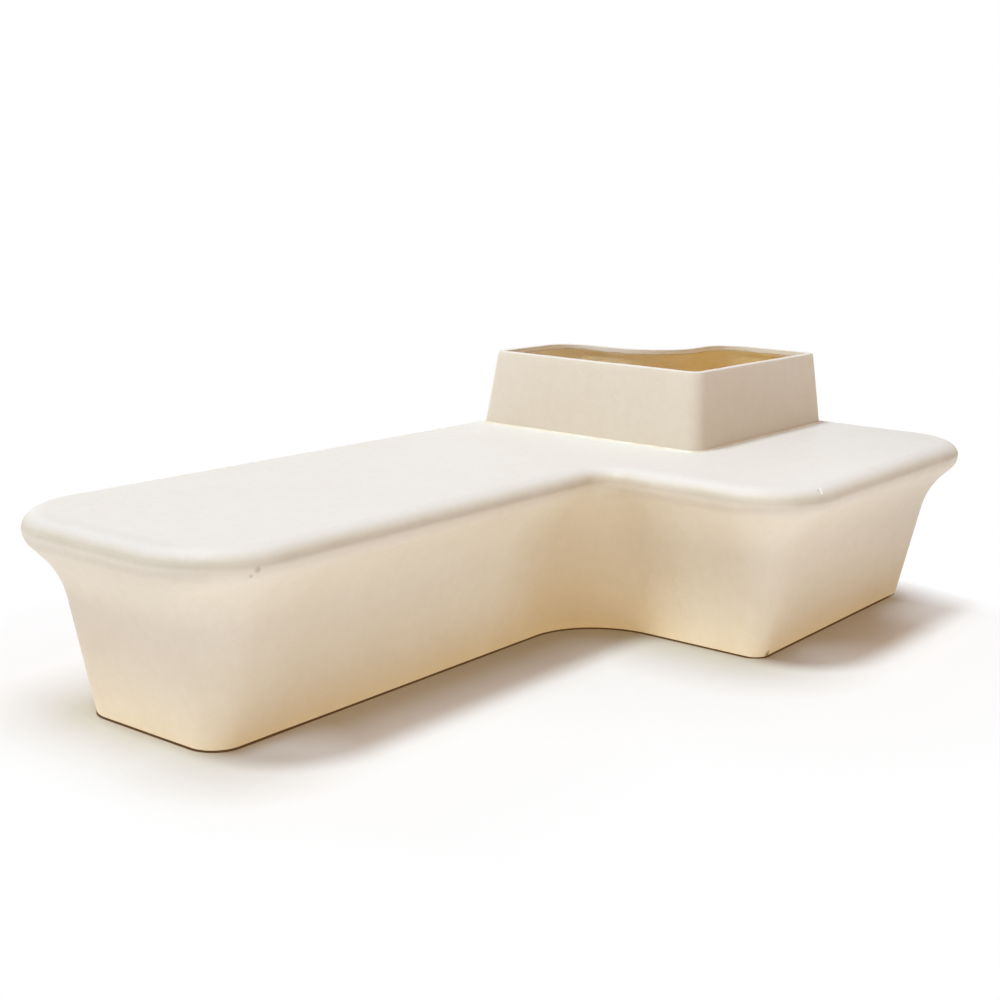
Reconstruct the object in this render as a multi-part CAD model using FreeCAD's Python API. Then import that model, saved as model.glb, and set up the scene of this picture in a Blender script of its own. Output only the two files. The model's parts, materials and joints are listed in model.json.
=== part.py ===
import FreeCAD, Part
import math
import os

# Moulded bench with a planter: a hollow glass-fibre seat shell with an L of seating, a planter
# surround standing on it, a laminate liner that holds the soil, and a steel frame inside.
# Millimetres, Z up, ground at Z 0, origin under the middle of the overall length and depth.
# X runs along the long arm of the seat, Y from the front of the cross arm to the rear.

# Overall sizes
OVERALL_LENGTH = 2400.0
OVERALL_DEPTH = 1200.0
OVERALL_HEIGHT = 650.0
SEAT_HEIGHT = 445.0
LONG_ARM_DEPTH = 680.0
CROSS_ARM_WIDTH = 1120.0

# Bench shell laminate, seen in section from the ground up
SHELL_THICKNESS = 8.0
GROUND_GAP = 3.0
BASE_FLANGE_WIDTH = 30.0
WALL_DRAFT = 11.6
WALL_HEIGHT = 255.0
FLARE_RADIUS = 195.0
FLARE_ANGLE = 33.4
FLARE_STRAIGHT = 26.0
NOSE_LOWER_RADIUS = 48.0
NOSE_FLAT_INSET = 47.0

# Corner radii of the shell at its foot
END_CORNER_RADIUS = 70.0
FRONT_CORNER_RADIUS = 40.0
INNER_CORNER_RADIUS = 200.0
LOBE_CORNER_RADIUS = 47.0
NOTCH_CORNER_RADIUS = 226.0

# Planter surround, sizes at seat height
PLANTER_LENGTH = 725.0
PLANTER_DEPTH = 700.0
PLANTER_REAR_MARGIN = 54.0
PLANTER_END_MARGIN = 67.0
PLANTER_NOTCH_LENGTH = 339.0
PLANTER_NOTCH_DEPTH = 337.0
PLANTER_DRAFT = 6.5
PLANTER_FRONT_CORNER = 40.0
PLANTER_SIDE_CORNER = 22.0
PLANTER_LOBE_CORNER = 131.0
PLANTER_INNER_CORNER = 142.0
SURROUND_THICKNESS = 9.0
SURROUND_FLANGE_WIDTH = 30.0
SURROUND_FLANGE_THICKNESS = 8.0
RIM_WIDTH = 18.0
RIM_DEPTH = 18.0
RIM_EDGE_RADIUS = 5.0
OPENING_CLEARANCE = 1.0
SEAL_WIDTH = 5.0
SEAL_HEIGHT = 4.0

# Planter liner
LINER_THICKNESS = 6.0
LINER_FLOOR_INSET = 57.0
LINER_FLOOR_CORNER = 15.0

# Seat core panels
CORE_THICKNESS = 18.0
CORE_RIM_INSET = 75.0
CORE_FLANGE_GAP = 8.0
CORE_JOINT_GAP = 0.4

# Frame of square tube
TUBE = 50.0
TUBE_WALL = 3.0
TUBE_CORNER = 5.0
LEG_INSET = 75.0
PLANTER_RAIL_CLEARANCE = 11.0
CROSS_RAIL_COUNT = 4
LINER_RAIL_CLEARANCE = 20.0
CRADLE_RAIL_TOP = 175.0
BEARER_PITCH = 115.0
LEG_FOOT_HEIGHT = 30.0
END_PLATE_THICKNESS = 8.0
LEG_NUT_HEIGHT = 10.0
LEG_NUT_FLATS = 19.0

# Cleats and screws that hold the core panels to the rails
CLEAT_LENGTH = 60.0
CLEAT_REACH = 40.0
CLEAT_THICKNESS = 4.0
CLEAT_END_DISTANCE = 112.0
CLEAT_PITCH = 550.0
SCREW_DIAMETER = 8.0
SCREW_BITE = 14.0
SCREW_HEAD_FLATS = 13.0
SCREW_HEAD_HEIGHT = 5.5
SCREW_HOLE_CLEARANCE = 0.5

# Drain outlets in the liner's floor
DRAIN_BORE = 32.0
DRAIN_THREAD_DIAMETER = 42.0
DRAIN_THREAD_LENGTH = 25.0
DRAIN_TAIL_DIAMETER = 38.0
DRAIN_TAIL_LENGTH = 60.0
DRAIN_FLANGE_DIAMETER = 70.0
DRAIN_FLANGE_THICKNESS = 4.0
DRAIN_GASKET_DIAMETER = 56.0
DRAIN_GASKET_THICKNESS = 2.0
DRAIN_NUT_FLATS = 52.0
DRAIN_NUT_HEIGHT = 10.0
DRAIN_GRATE_DIAMETER = 60.0
DRAIN_GRATE_THICKNESS = 5.0
DRAIN_GRATE_HOLE = 7.0
DRAIN_GRATE_HOLES = 6
DRAIN_GRATE_RING = 22.0
DRAIN_HOLE_CLEARANCE = 0.5
REAR_DRAIN_INSET = 192.0
REAR_DRAIN_SETBACK = 316.0

# Levelling feet
FOOT_DIAMETER = 50.0
SOLE_THICKNESS = 3.0
PAD_THICKNESS = 9.0
SOCKET_FLOOR = 2.0
STUD_DIAMETER = 12.0
STUD_TIP_DIAMETER = 10.0
STUD_REACH = 40.0
COLLAR_HEIGHT = 8.0
RUNNING_CLEARANCE = 0.05

# Places worked out from the sizes
DRAFT = math.radians(WALL_DRAFT)
LEAN = math.radians(WALL_DRAFT + FLARE_ANGLE)
RIM_OVERHANG = (WALL_HEIGHT * math.tan(DRAFT) + FLARE_RADIUS * (math.cos(DRAFT) - math.cos(LEAN))
                + FLARE_STRAIGHT * math.sin(LEAN) + NOSE_LOWER_RADIUS * (1 - math.cos(LEAN)))
REAR_Y = OVERALL_DEPTH / 2
END_X = OVERALL_LENGTH / 2
PLANTER_TAPER = math.tan(math.radians(PLANTER_DRAFT))
SEAT_UNDERSIDE = SEAT_HEIGHT - SHELL_THICKNESS
RAIL_TOP = SEAT_UNDERSIDE - CORE_THICKNESS
RAIL_AXIS = RAIL_TOP - TUBE / 2
CRADLE_AXIS = CRADLE_RAIL_TOP - TUBE / 2
LINER_FLOOR = CRADLE_RAIL_TOP
SURROUND_BOTTOM = SEAT_UNDERSIDE - SURROUND_FLANGE_THICKNESS
RIM_UNDERSIDE = OVERALL_HEIGHT - RIM_DEPTH
PLANTER_RIGHT = END_X - PLANTER_END_MARGIN
PLANTER_LEFT = PLANTER_RIGHT - PLANTER_LENGTH
PLANTER_REAR = REAR_Y - PLANTER_REAR_MARGIN
PLANTER_FRONT = PLANTER_REAR - PLANTER_DEPTH
PLANTER_NOTCH_X = PLANTER_RIGHT - PLANTER_NOTCH_LENGTH
PLANTER_NOTCH_Y = PLANTER_REAR - PLANTER_NOTCH_DEPTH
SQUARE_TURN = 90.0
MARGIN = 1.0


def vec(x, y, z=0.0):
    return FreeCAD.Vector(x, y, z)


def box(low, high):
    size = [b - a for a, b in zip(low, high)]
    return Part.makeBox(size[0], size[1], size[2], vec(*low))


def fuse(shapes):
    return shapes[0].multiFuse(shapes[1:]).removeSplitter()


def cylinder(diameter, x, y, low, high):
    return Part.makeCylinder(diameter / 2, high - low, vec(x, y, low))


def hexagon(flats, x, y, low, high):
    radius = flats / math.sqrt(3)
    angles = [math.radians(60 * i) for i in range(7)]
    points = [vec(x + radius * math.cos(a), y + radius * math.sin(a), low) for a in angles]
    return Part.Face(Part.makePolygon(points)).extrude(vec(0, 0, high - low))


# Plan outlines: corners counterclockwise as (x, y, radius, bend), where bend is 1 at an outer
# corner and -1 at an inner one, and neighbouring edges are square to each other


def unit(a, b):
    length = math.hypot(b[0] - a[0], b[1] - a[1])
    return ((b[0] - a[0]) / length, (b[1] - a[1]) / length)


def outward(direction):
    return (direction[1], -direction[0])


def corner_frames(corners):
    """For each corner, the directions of the edges that come in and go out."""
    frames = []
    for i, corner in enumerate(corners):
        following = corners[(i + 1) % len(corners)]
        frames.append((unit(corners[i - 1], corner), unit(corner, following)))
    return frames


def offset_corners(corners, distance):
    """The outline moved outward by distance, with every arc kept concentric."""
    moved = []
    for (x, y, radius, bend), (into, out) in zip(corners, corner_frames(corners)):
        a = outward(into)
        b = outward(out)
        moved.append((x + distance * (a[0] + b[0]), y + distance * (a[1] + b[1]),
                      radius + bend * distance, bend))
    return moved


def corner_points(corner, frame):
    """Start, end and centre of a corner's arc."""
    x, y, radius, bend = corner
    into, out = frame
    start = (x - radius * into[0], y - radius * into[1])
    end = (x + radius * out[0], y + radius * out[1])
    centre = (start[0] + radius * out[0], start[1] + radius * out[1])
    return start, end, centre


def outline_wire(corners, z):
    frames = corner_frames(corners)
    edges = []
    for i, corner in enumerate(corners):
        start, end, centre = corner_points(corner, frames[i])
        toward = unit(centre, corner)
        middle = (centre[0] + corner[2] * toward[0], centre[1] + corner[2] * toward[1])
        edges.append(Part.Arc(vec(*start, z), vec(*middle, z), vec(*end, z)).toShape())
        j = (i + 1) % len(corners)
        following = corner_points(corners[j], frames[j])[0]
        edges.append(Part.makeLine(vec(*end, z), vec(*following, z)))
    return Part.Wire(edges)


def plate(corners, low, high):
    return Part.Face(outline_wire(corners, low)).extrude(vec(0, 0, high - low))


def turn_of(normal):
    return math.degrees(math.atan2(normal[1], normal[0]))


def sweep_round(corners, section):
    """Carry a section, drawn in X (outward) and Z, along a closed outline."""
    frames = corner_frames(corners)
    pieces = []
    for i, corner in enumerate(corners):
        start, end, centre = corner_points(corner, frames[i])
        into, out = frames[i]
        bent = section.copy()
        bent.rotate(vec(0, 0), vec(0, 0, 1), turn_of(outward(into)))
        bent.translate(vec(*start))
        pieces.append(bent.revolve(vec(*centre), vec(0, 0, 1), corner[3] * SQUARE_TURN))
        j = (i + 1) % len(corners)
        following = corner_points(corners[j], frames[j])[0]
        straight = section.copy()
        straight.rotate(vec(0, 0), vec(0, 0, 1), turn_of(outward(out)))
        straight.translate(vec(*end))
        pieces.append(straight.extrude(vec(following[0] - end[0], following[1] - end[1])))
    return pieces


def foot_outline():
    """The bench shell's plan at its foot, inside the rim by the overhang."""
    left = -END_X
    front = REAR_Y - LONG_ARM_DEPTH
    arm = END_X - CROSS_ARM_WIDTH
    notch_x = PLANTER_NOTCH_X + PLANTER_REAR_MARGIN
    notch_y = PLANTER_NOTCH_Y + PLANTER_REAR_MARGIN
    rim = [(left, front, END_CORNER_RADIUS + RIM_OVERHANG, 1),
           (arm, front, INNER_CORNER_RADIUS - RIM_OVERHANG, -1),
           (arm, -REAR_Y, FRONT_CORNER_RADIUS + RIM_OVERHANG, 1),
           (END_X, -REAR_Y, FRONT_CORNER_RADIUS + RIM_OVERHANG, 1),
           (END_X, notch_y, LOBE_CORNER_RADIUS + RIM_OVERHANG, 1),
           (notch_x, notch_y, NOTCH_CORNER_RADIUS - RIM_OVERHANG, -1),
           (notch_x, REAR_Y, LOBE_CORNER_RADIUS + RIM_OVERHANG, 1),
           (left, REAR_Y, END_CORNER_RADIUS + RIM_OVERHANG, 1)]
    return offset_corners(rim, -RIM_OVERHANG)


def planter_outline(inset, thinning=0.0):
    """The surround's plan, inset by its draft and thinned by its wall."""
    small = [max(r - thinning, LINER_FLOOR_CORNER) for r in (PLANTER_FRONT_CORNER, PLANTER_SIDE_CORNER)]
    total = inset + thinning
    lobe = PLANTER_LOBE_CORNER - total
    low = (PLANTER_LEFT + total, PLANTER_FRONT + total)
    high = (PLANTER_RIGHT - total, PLANTER_REAR - total)
    notch = (PLANTER_NOTCH_X - total, PLANTER_NOTCH_Y - total)
    return [(low[0], low[1], small[0], 1),
            (high[0], low[1], small[1], 1),
            (high[0], notch[1], lobe, 1),
            (notch[0], notch[1], PLANTER_INNER_CORNER + total, -1),
            (notch[0], high[1], lobe, 1),
            (low[0], high[1], small[1], 1)]


def taper(z):
    return (z - SEAT_HEIGHT) * PLANTER_TAPER


def planter_block(low, high, thinning):
    """A drafted block that follows the surround between two heights."""
    wires = [outline_wire(planter_outline(taper(z), thinning), z) for z in (low, high)]
    return Part.makeLoft(wires, True, True)


# Bench shell


def polar(centre, radius, angle):
    return (centre[0] + radius * math.cos(angle), centre[1] + radius * math.sin(angle))


def upright(point):
    """A section point, drawn as (outward, up), in space."""
    return vec(point[0], 0, point[1])


def arc_edge(centre, radius, first, last):
    angles = (first, (first + last) / 2, last)
    return Part.Arc(*[upright(polar(centre, radius, a)) for a in angles]).toShape()


def straight_edge(first, last):
    return Part.makeLine(upright(first), upright(last))


def nose_edge(centre, width, height):
    """A quarter ellipse between the nose's outermost point and the edge of the flat."""
    side = upright((centre[0] + width, centre[1]))
    top = upright((centre[0], centre[1] + height))
    ends = (side, top) if width >= height else (top, side)
    ellipse = Part.Ellipse(ends[0], ends[1], upright(centre))
    return Part.ArcOfEllipse(ellipse, 0, math.pi / 2).toShape()


def shell_section():
    """The laminate from the edge of the flat seat, round the nose and down to the base flange."""
    t = SHELL_THICKNESS
    wall_top = (WALL_HEIGHT * math.tan(DRAFT), GROUND_GAP + WALL_HEIGHT)
    flare = polar(wall_top, FLARE_RADIUS, -DRAFT)
    flare_end = polar(flare, FLARE_RADIUS, math.pi - LEAN)
    nose_start = polar(flare_end, FLARE_STRAIGHT, math.pi / 2 - LEAN)
    nose = polar(nose_start, NOSE_LOWER_RADIUS, math.pi - LEAN)
    flat_edge = (RIM_OVERHANG - NOSE_FLAT_INSET, nose[1])
    rise = SEAT_HEIGHT - nose[1]

    inner_wall_top = polar(flare, FLARE_RADIUS + t, math.pi - DRAFT)
    flange_top = GROUND_GAP + t
    wall_drop = inner_wall_top[1] - flange_top
    flange_root = (inner_wall_top[0] - wall_drop * math.tan(DRAFT), flange_top)

    edges = [straight_edge((0, GROUND_GAP), wall_top),
             arc_edge(flare, FLARE_RADIUS, math.pi - DRAFT, math.pi - LEAN),
             straight_edge(flare_end, nose_start),
             arc_edge(nose, NOSE_LOWER_RADIUS, -LEAN, 0),
             nose_edge(flat_edge, NOSE_FLAT_INSET, rise),
             straight_edge((flat_edge[0], SEAT_HEIGHT), (flat_edge[0], SEAT_UNDERSIDE)),
             nose_edge(flat_edge, NOSE_FLAT_INSET - t, rise - t),
             arc_edge(nose, NOSE_LOWER_RADIUS - t, 0, -LEAN),
             straight_edge(polar(nose, NOSE_LOWER_RADIUS - t, -LEAN),
                           polar(flare, FLARE_RADIUS + t, math.pi - LEAN)),
             arc_edge(flare, FLARE_RADIUS + t, math.pi - LEAN, math.pi - DRAFT),
             straight_edge(inner_wall_top, flange_root),
             straight_edge(flange_root, (-BASE_FLANGE_WIDTH, flange_top)),
             straight_edge((-BASE_FLANGE_WIDTH, flange_top), (-BASE_FLANGE_WIDTH, GROUND_GAP)),
             straight_edge((-BASE_FLANGE_WIDTH, GROUND_GAP), (0, GROUND_GAP))]
    return Part.Face(Part.Wire(edges))


def flat_outline():
    """The edge of the seat's flat, where the nose begins."""
    return offset_corners(foot_outline(), RIM_OVERHANG - NOSE_FLAT_INSET)


def bench_shell():
    pieces = sweep_round(foot_outline(), shell_section())
    pieces.append(plate(flat_outline(), SEAT_UNDERSIDE, SEAT_HEIGHT))
    opening = planter_block(SEAT_UNDERSIDE - MARGIN, SEAT_HEIGHT + MARGIN, -OPENING_CLEARANCE)
    return fuse(pieces).cut(opening)


# Planter


def surround_flange():
    """The flange bonded under the seat, kept to where the seat's underside is flat."""
    plan = planter_outline(taper(SURROUND_BOTTOM), -SURROUND_FLANGE_WIDTH)
    field = plate(flat_outline(), SURROUND_BOTTOM, SEAT_UNDERSIDE)
    return plate(plan, SURROUND_BOTTOM, SEAT_UNDERSIDE).common(field)


def planter_surround():
    outer = planter_block(SURROUND_BOTTOM, OVERALL_HEIGHT, 0)
    flange = surround_flange()
    below = planter_block(SURROUND_BOTTOM - MARGIN, RIM_UNDERSIDE, SURROUND_THICKNESS)
    inside_rim = planter_block(RIM_UNDERSIDE - MARGIN, OVERALL_HEIGHT + MARGIN, RIM_WIDTH)
    body = outer.fuse(flange).removeSplitter().cut(below).cut(inside_rim)
    top_edges = [e for e in body.Edges if e.BoundBox.ZMin > OVERALL_HEIGHT - MARGIN]
    return body.makeFillet(RIM_EDGE_RADIUS, top_edges)


def liner_block(floor_inset, floor, thinning):
    """The liner follows the surround above the seat and narrows to its floor below it."""
    low = outline_wire(planter_outline(0, floor_inset), floor)
    high = outline_wire(planter_outline(taper(SURROUND_BOTTOM), thinning), SURROUND_BOTTOM)
    lower = Part.makeLoft([low, high], True, True)
    return lower.fuse(planter_block(SURROUND_BOTTOM, RIM_UNDERSIDE, thinning))


def drain_places():
    middle = (PLANTER_LEFT + PLANTER_RIGHT) / 2
    return [(middle, LOBE_LEG_Y - BEARER_PITCH / 2),
            (PLANTER_LEFT + REAR_DRAIN_INSET, PLANTER_REAR - REAR_DRAIN_SETBACK)]


def planter_liner():
    outer = liner_block(LINER_FLOOR_INSET, LINER_FLOOR, SURROUND_THICKNESS)
    inner = liner_block(LINER_FLOOR_INSET + LINER_THICKNESS, LINER_FLOOR + LINER_THICKNESS,
                        SURROUND_THICKNESS + LINER_THICKNESS)
    hole = DRAIN_THREAD_DIAMETER + 2 * DRAIN_HOLE_CLEARANCE
    holes = [cylinder(hole, x, y, LINER_FLOOR - MARGIN, LINER_FLOOR + LINER_THICKNESS + MARGIN)
             for x, y in drain_places()]
    return outer.cut(inner).cut(holes)


def planter_seal():
    """A bead of sealant in the corner between the surround and the seat."""
    wires = [outline_wire(planter_outline(0, -SEAL_WIDTH), SEAT_HEIGHT),
             outline_wire(planter_outline(taper(SEAT_HEIGHT + SEAL_HEIGHT), -MARGIN / 2),
                          SEAT_HEIGHT + SEAL_HEIGHT)]
    bead = Part.makeLoft(wires, True, True)
    return bead.cut(planter_block(SEAT_HEIGHT - MARGIN, SEAT_HEIGHT + SEAL_HEIGHT + MARGIN, 0))


# Drain outlets


def drain_body(x, y):
    """An outlet with a threaded neck for its nut and a thinner plain tail for a hose."""
    top = LINER_FLOOR + LINER_THICKNESS
    shoulder = LINER_FLOOR - DRAIN_THREAD_LENGTH
    tip = shoulder - DRAIN_TAIL_LENGTH
    flange = cylinder(DRAIN_FLANGE_DIAMETER, x, y, top, top + DRAIN_FLANGE_THICKNESS)
    neck = cylinder(DRAIN_THREAD_DIAMETER, x, y, shoulder, top)
    tail = cylinder(DRAIN_TAIL_DIAMETER, x, y, tip, shoulder)
    bore = cylinder(DRAIN_BORE, x, y, tip, top + DRAIN_FLANGE_THICKNESS)
    return fuse([flange, neck, tail]).cut(bore)


def drain_gasket(x, y):
    low = LINER_FLOOR - DRAIN_GASKET_THICKNESS
    disc = cylinder(DRAIN_GASKET_DIAMETER, x, y, low, LINER_FLOOR)
    return disc.cut(cylinder(DRAIN_THREAD_DIAMETER, x, y, low, LINER_FLOOR))


def drain_nut(x, y):
    high = LINER_FLOOR - DRAIN_GASKET_THICKNESS
    low = high - DRAIN_NUT_HEIGHT
    return hexagon(DRAIN_NUT_FLATS, x, y, low, high).cut(cylinder(DRAIN_THREAD_DIAMETER, x, y, low, high))


def drain_grate(x, y):
    """A flat strainer with a ring of holes round a middle one, over the outlet's bore."""
    low = LINER_FLOOR + LINER_THICKNESS + DRAIN_FLANGE_THICKNESS
    high = low + DRAIN_GRATE_THICKNESS
    holes = [cylinder(DRAIN_GRATE_HOLE, x, y, low, high)]
    for i in range(DRAIN_GRATE_HOLES):
        hole_x, hole_y = polar((x, y), DRAIN_GRATE_RING / 2, 2 * math.pi * i / DRAIN_GRATE_HOLES)
        holes.append(cylinder(DRAIN_GRATE_HOLE, hole_x, hole_y, low, high))
    return cylinder(DRAIN_GRATE_DIAMETER, x, y, low, high).cut(holes)


# Frame places, from the legs that stand inside the shell's base flange
FOOT_LEFT = -END_X + RIM_OVERHANG
FOOT_RIGHT = END_X - RIM_OVERHANG
FOOT_REAR = REAR_Y - RIM_OVERHANG
FOOT_FRONT = -REAR_Y + RIM_OVERHANG
LEFT_X = FOOT_LEFT + LEG_INSET
RIGHT_X = FOOT_RIGHT - LEG_INSET
ARM_X = END_X - CROSS_ARM_WIDTH + RIM_OVERHANG + LEG_INSET
LOBE_LEG_X = PLANTER_NOTCH_X + PLANTER_REAR_MARGIN - RIM_OVERHANG - LEG_INSET
LOBE_LEG_Y = PLANTER_NOTCH_Y + PLANTER_REAR_MARGIN - RIM_OVERHANG - LEG_INSET
REAR_RAIL_Y = FOOT_REAR - LEG_INSET
LONG_RAIL_Y = REAR_Y - LONG_ARM_DEPTH + RIM_OVERHANG + LEG_INSET
FRONT_RAIL_Y = FOOT_FRONT + LEG_INSET
MIDDLE_X = PLANTER_LEFT + SURROUND_THICKNESS - PLANTER_RAIL_CLEARANCE - TUBE / 2
PLANTER_RAIL_Y = PLANTER_FRONT + SURROUND_THICKNESS - LINER_RAIL_CLEARANCE - TUBE / 2
HALF = TUBE / 2

FULL_LEGS = {"left_front": (LEFT_X, LONG_RAIL_Y),
             "left_rear": (LEFT_X, REAR_RAIL_Y),
             "middle_front": (MIDDLE_X, LONG_RAIL_Y),
             "middle_rear": (MIDDLE_X, REAR_RAIL_Y),
             "arm_front": (ARM_X, FRONT_RAIL_Y),
             "right_front": (RIGHT_X, FRONT_RAIL_Y)}
SHORT_LEGS = {"lobe_rear": (LOBE_LEG_X, REAR_RAIL_Y),
              "lobe_right": (RIGHT_X, LOBE_LEG_Y)}


def square(half, radius):
    return [(-half, -half, radius, 1), (half, -half, radius, 1),
            (half, half, radius, 1), (-half, half, radius, 1)]


def tube(start, end):
    """A length of square tube between the centres of its two ends."""
    run = vec(*end).sub(vec(*start))
    outer = plate(square(HALF, TUBE_CORNER), 0, run.Length)
    inner = plate(square(HALF - TUBE_WALL, TUBE_CORNER - TUBE_WALL), 0, run.Length)
    shape = outer.cut(inner)
    shape.Placement = FreeCAD.Placement(vec(*start), FreeCAD.Rotation(vec(0, 0, 1), run))
    return shape


def rail_x(y, first, last, z):
    return tube((first, y, z), (last, y, z))


def rail_y(x, first, last, z):
    return tube((x, first, z), (x, last, z))


def post(x, y, low, high):
    return tube((x, y, low), (x, y, high))


def frame_nodes():
    end = MIDDLE_X + HALF
    pitch = (MIDDLE_X - LEFT_X) / (CROSS_RAIL_COUNT - 1)
    crossings = [LEFT_X + i * pitch for i in range(CROSS_RAIL_COUNT)]
    nodes = {"frame_rail_rear": rail_x(REAR_RAIL_Y, LEFT_X - HALF, end, RAIL_AXIS),
             "frame_rail_front": rail_x(LONG_RAIL_Y, LEFT_X - HALF, end, RAIL_AXIS),
             "frame_cross_rails": Part.makeCompound(
                 [rail_y(x, LONG_RAIL_Y + HALF, REAR_RAIL_Y - HALF, RAIL_AXIS) for x in crossings]),
             "frame_arm_left": rail_y(ARM_X, FRONT_RAIL_Y + HALF, LONG_RAIL_Y - HALF, RAIL_AXIS),
             "frame_arm_front": rail_x(FRONT_RAIL_Y, ARM_X - HALF, RIGHT_X + HALF, RAIL_AXIS),
             "frame_arm_right": rail_y(RIGHT_X, FRONT_RAIL_Y + HALF, PLANTER_RAIL_Y - HALF, RAIL_AXIS),
             "frame_planter_rail": rail_x(PLANTER_RAIL_Y, ARM_X + HALF, RIGHT_X + HALF, RAIL_AXIS)}
    foot = LEG_FOOT_HEIGHT + END_PLATE_THICKNESS
    for name, (x, y) in FULL_LEGS.items():
        nodes["frame_leg_" + name] = post(x, y, foot, RAIL_TOP - TUBE)
    nodes["frame_short_legs"] = Part.makeCompound(
        [post(x, y, foot, CRADLE_RAIL_TOP) for x, y in SHORT_LEGS.values()])
    return nodes


def cradle_nodes():
    """The low rails that carry the liner's floor between the legs."""
    z = CRADLE_AXIS
    left = MIDDLE_X + HALF
    bearers = [rail_x(LOBE_LEG_Y - i * BEARER_PITCH, left, RIGHT_X - HALF, z) for i in range(2)]
    return {"cradle_left": rail_y(MIDDLE_X, FRONT_RAIL_Y + HALF, LONG_RAIL_Y - HALF, z),
            "cradle_front": rail_x(FRONT_RAIL_Y, ARM_X + HALF, RIGHT_X - HALF, z),
            "cradle_right": rail_y(RIGHT_X, FRONT_RAIL_Y + HALF, LOBE_LEG_Y - HALF, z),
            "cradle_bearers": Part.makeCompound(bearers),
            "cradle_lobe_bearer": rail_x(REAR_RAIL_Y, left, LOBE_LEG_X - HALF, z),
            "cradle_post": post(RIGHT_X, PLANTER_RAIL_Y, CRADLE_RAIL_TOP, RAIL_TOP - TUBE)}


# Seat core panels, cleats and screws


def cleat_places():
    """Each cleat's middle on its rail's outer face, and the way it points."""
    places = []
    for i in range(3):
        x = LEFT_X + CLEAT_END_DISTANCE + i * CLEAT_PITCH
        places.append((x, REAR_RAIL_Y + HALF, 0, 1))
        places.append((x, LONG_RAIL_Y - HALF, 0, -1))
    for x in (ARM_X + CLEAT_END_DISTANCE, RIGHT_X - CLEAT_END_DISTANCE):
        places.append((x, FRONT_RAIL_Y - HALF, 0, -1))
    link_middle = (core_edges()["link"] + core_edges()["front"]) / 2
    places.append((ARM_X - HALF, link_middle, -1, 0))
    arm_middle = (FRONT_RAIL_Y + PLANTER_RAIL_Y) / 2
    places.append((RIGHT_X + HALF, arm_middle, 1, 0))
    return places


def cleat(x, y, dx, dy):
    along = (abs(dy) * CLEAT_LENGTH / 2, abs(dx) * CLEAT_LENGTH / 2)
    far = (x + dx * CLEAT_REACH, y + dy * CLEAT_REACH)
    low = (min(x, far[0]) - along[0], min(y, far[1]) - along[1], RAIL_TOP - CLEAT_THICKNESS)
    high = (max(x, far[0]) + along[0], max(y, far[1]) + along[1], RAIL_TOP)
    hole = SCREW_DIAMETER + 2 * SCREW_HOLE_CLEARANCE
    return box(low, high).cut(cylinder(hole, *screw_centre(x, y, dx, dy), low[2], high[2]))


def screw_centre(x, y, dx, dy):
    return (x + dx * CLEAT_REACH / 2, y + dy * CLEAT_REACH / 2)


def core_screw(x, y):
    seat = RAIL_TOP - CLEAT_THICKNESS
    head = hexagon(SCREW_HEAD_FLATS, x, y, seat - SCREW_HEAD_HEIGHT, seat)
    return head.fuse(cylinder(SCREW_DIAMETER, x, y, seat, RAIL_TOP + SCREW_BITE))


def core_edges():
    """Where the core panels end: beside the surround's flange and at their own joint."""
    return {"right": PLANTER_LEFT - SURROUND_FLANGE_WIDTH - CORE_FLANGE_GAP,
            "front": PLANTER_FRONT - SURROUND_FLANGE_WIDTH - CORE_FLANGE_GAP,
            "link": REAR_Y - LONG_ARM_DEPTH + CORE_RIM_INSET}


def core_nodes():
    edges = core_edges()
    field = plate(offset_corners(foot_outline(), RIM_OVERHANG - CORE_RIM_INSET), RAIL_TOP, SEAT_UNDERSIDE)
    arm = END_X - CROSS_ARM_WIDTH + CORE_RIM_INSET
    whole = {"seat_core_long": box((-END_X, edges["link"], RAIL_TOP), (edges["right"], REAR_Y, SEAT_HEIGHT)),
             "seat_core_link": box((arm, edges["front"] + CORE_JOINT_GAP, RAIL_TOP),
                                   (edges["right"], edges["link"] - CORE_JOINT_GAP, SEAT_HEIGHT)),
             "seat_core_front": box((-END_X, -REAR_Y, RAIL_TOP), (END_X, edges["front"], SEAT_HEIGHT))}
    holes = [cylinder(SCREW_DIAMETER, *screw_centre(*place), RAIL_TOP, RAIL_TOP + SCREW_BITE)
             for place in cleat_places()]
    return {name: field.common(region).cut(holes) for name, region in whole.items()}


# Levelling feet


def leg_places():
    return {**FULL_LEGS, **SHORT_LEGS}


def stud_hole(x, y, low, high):
    return cylinder(STUD_DIAMETER + 2 * RUNNING_CLEARANCE, x, y, low, high)


def end_plate(x, y):
    low = LEG_FOOT_HEIGHT
    high = low + END_PLATE_THICKNESS
    return box((x - HALF, y - HALF, low), (x + HALF, y + HALF, high)).cut(stud_hole(x, y, low, high))


def leg_nut(x, y):
    low = LEG_FOOT_HEIGHT + END_PLATE_THICKNESS
    high = low + LEG_NUT_HEIGHT
    return hexagon(LEG_NUT_FLATS, x, y, low, high).cut(stud_hole(x, y, low, high))


def foot_sole(x, y):
    return cylinder(FOOT_DIAMETER, x, y, 0, SOLE_THICKNESS)


def foot_pad(x, y):
    low = SOLE_THICKNESS
    high = low + PAD_THICKNESS
    socket = cylinder(STUD_TIP_DIAMETER + 2 * RUNNING_CLEARANCE, x, y, low + SOCKET_FLOOR, high)
    return cylinder(FOOT_DIAMETER, x, y, low, high).cut(socket)


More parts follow.
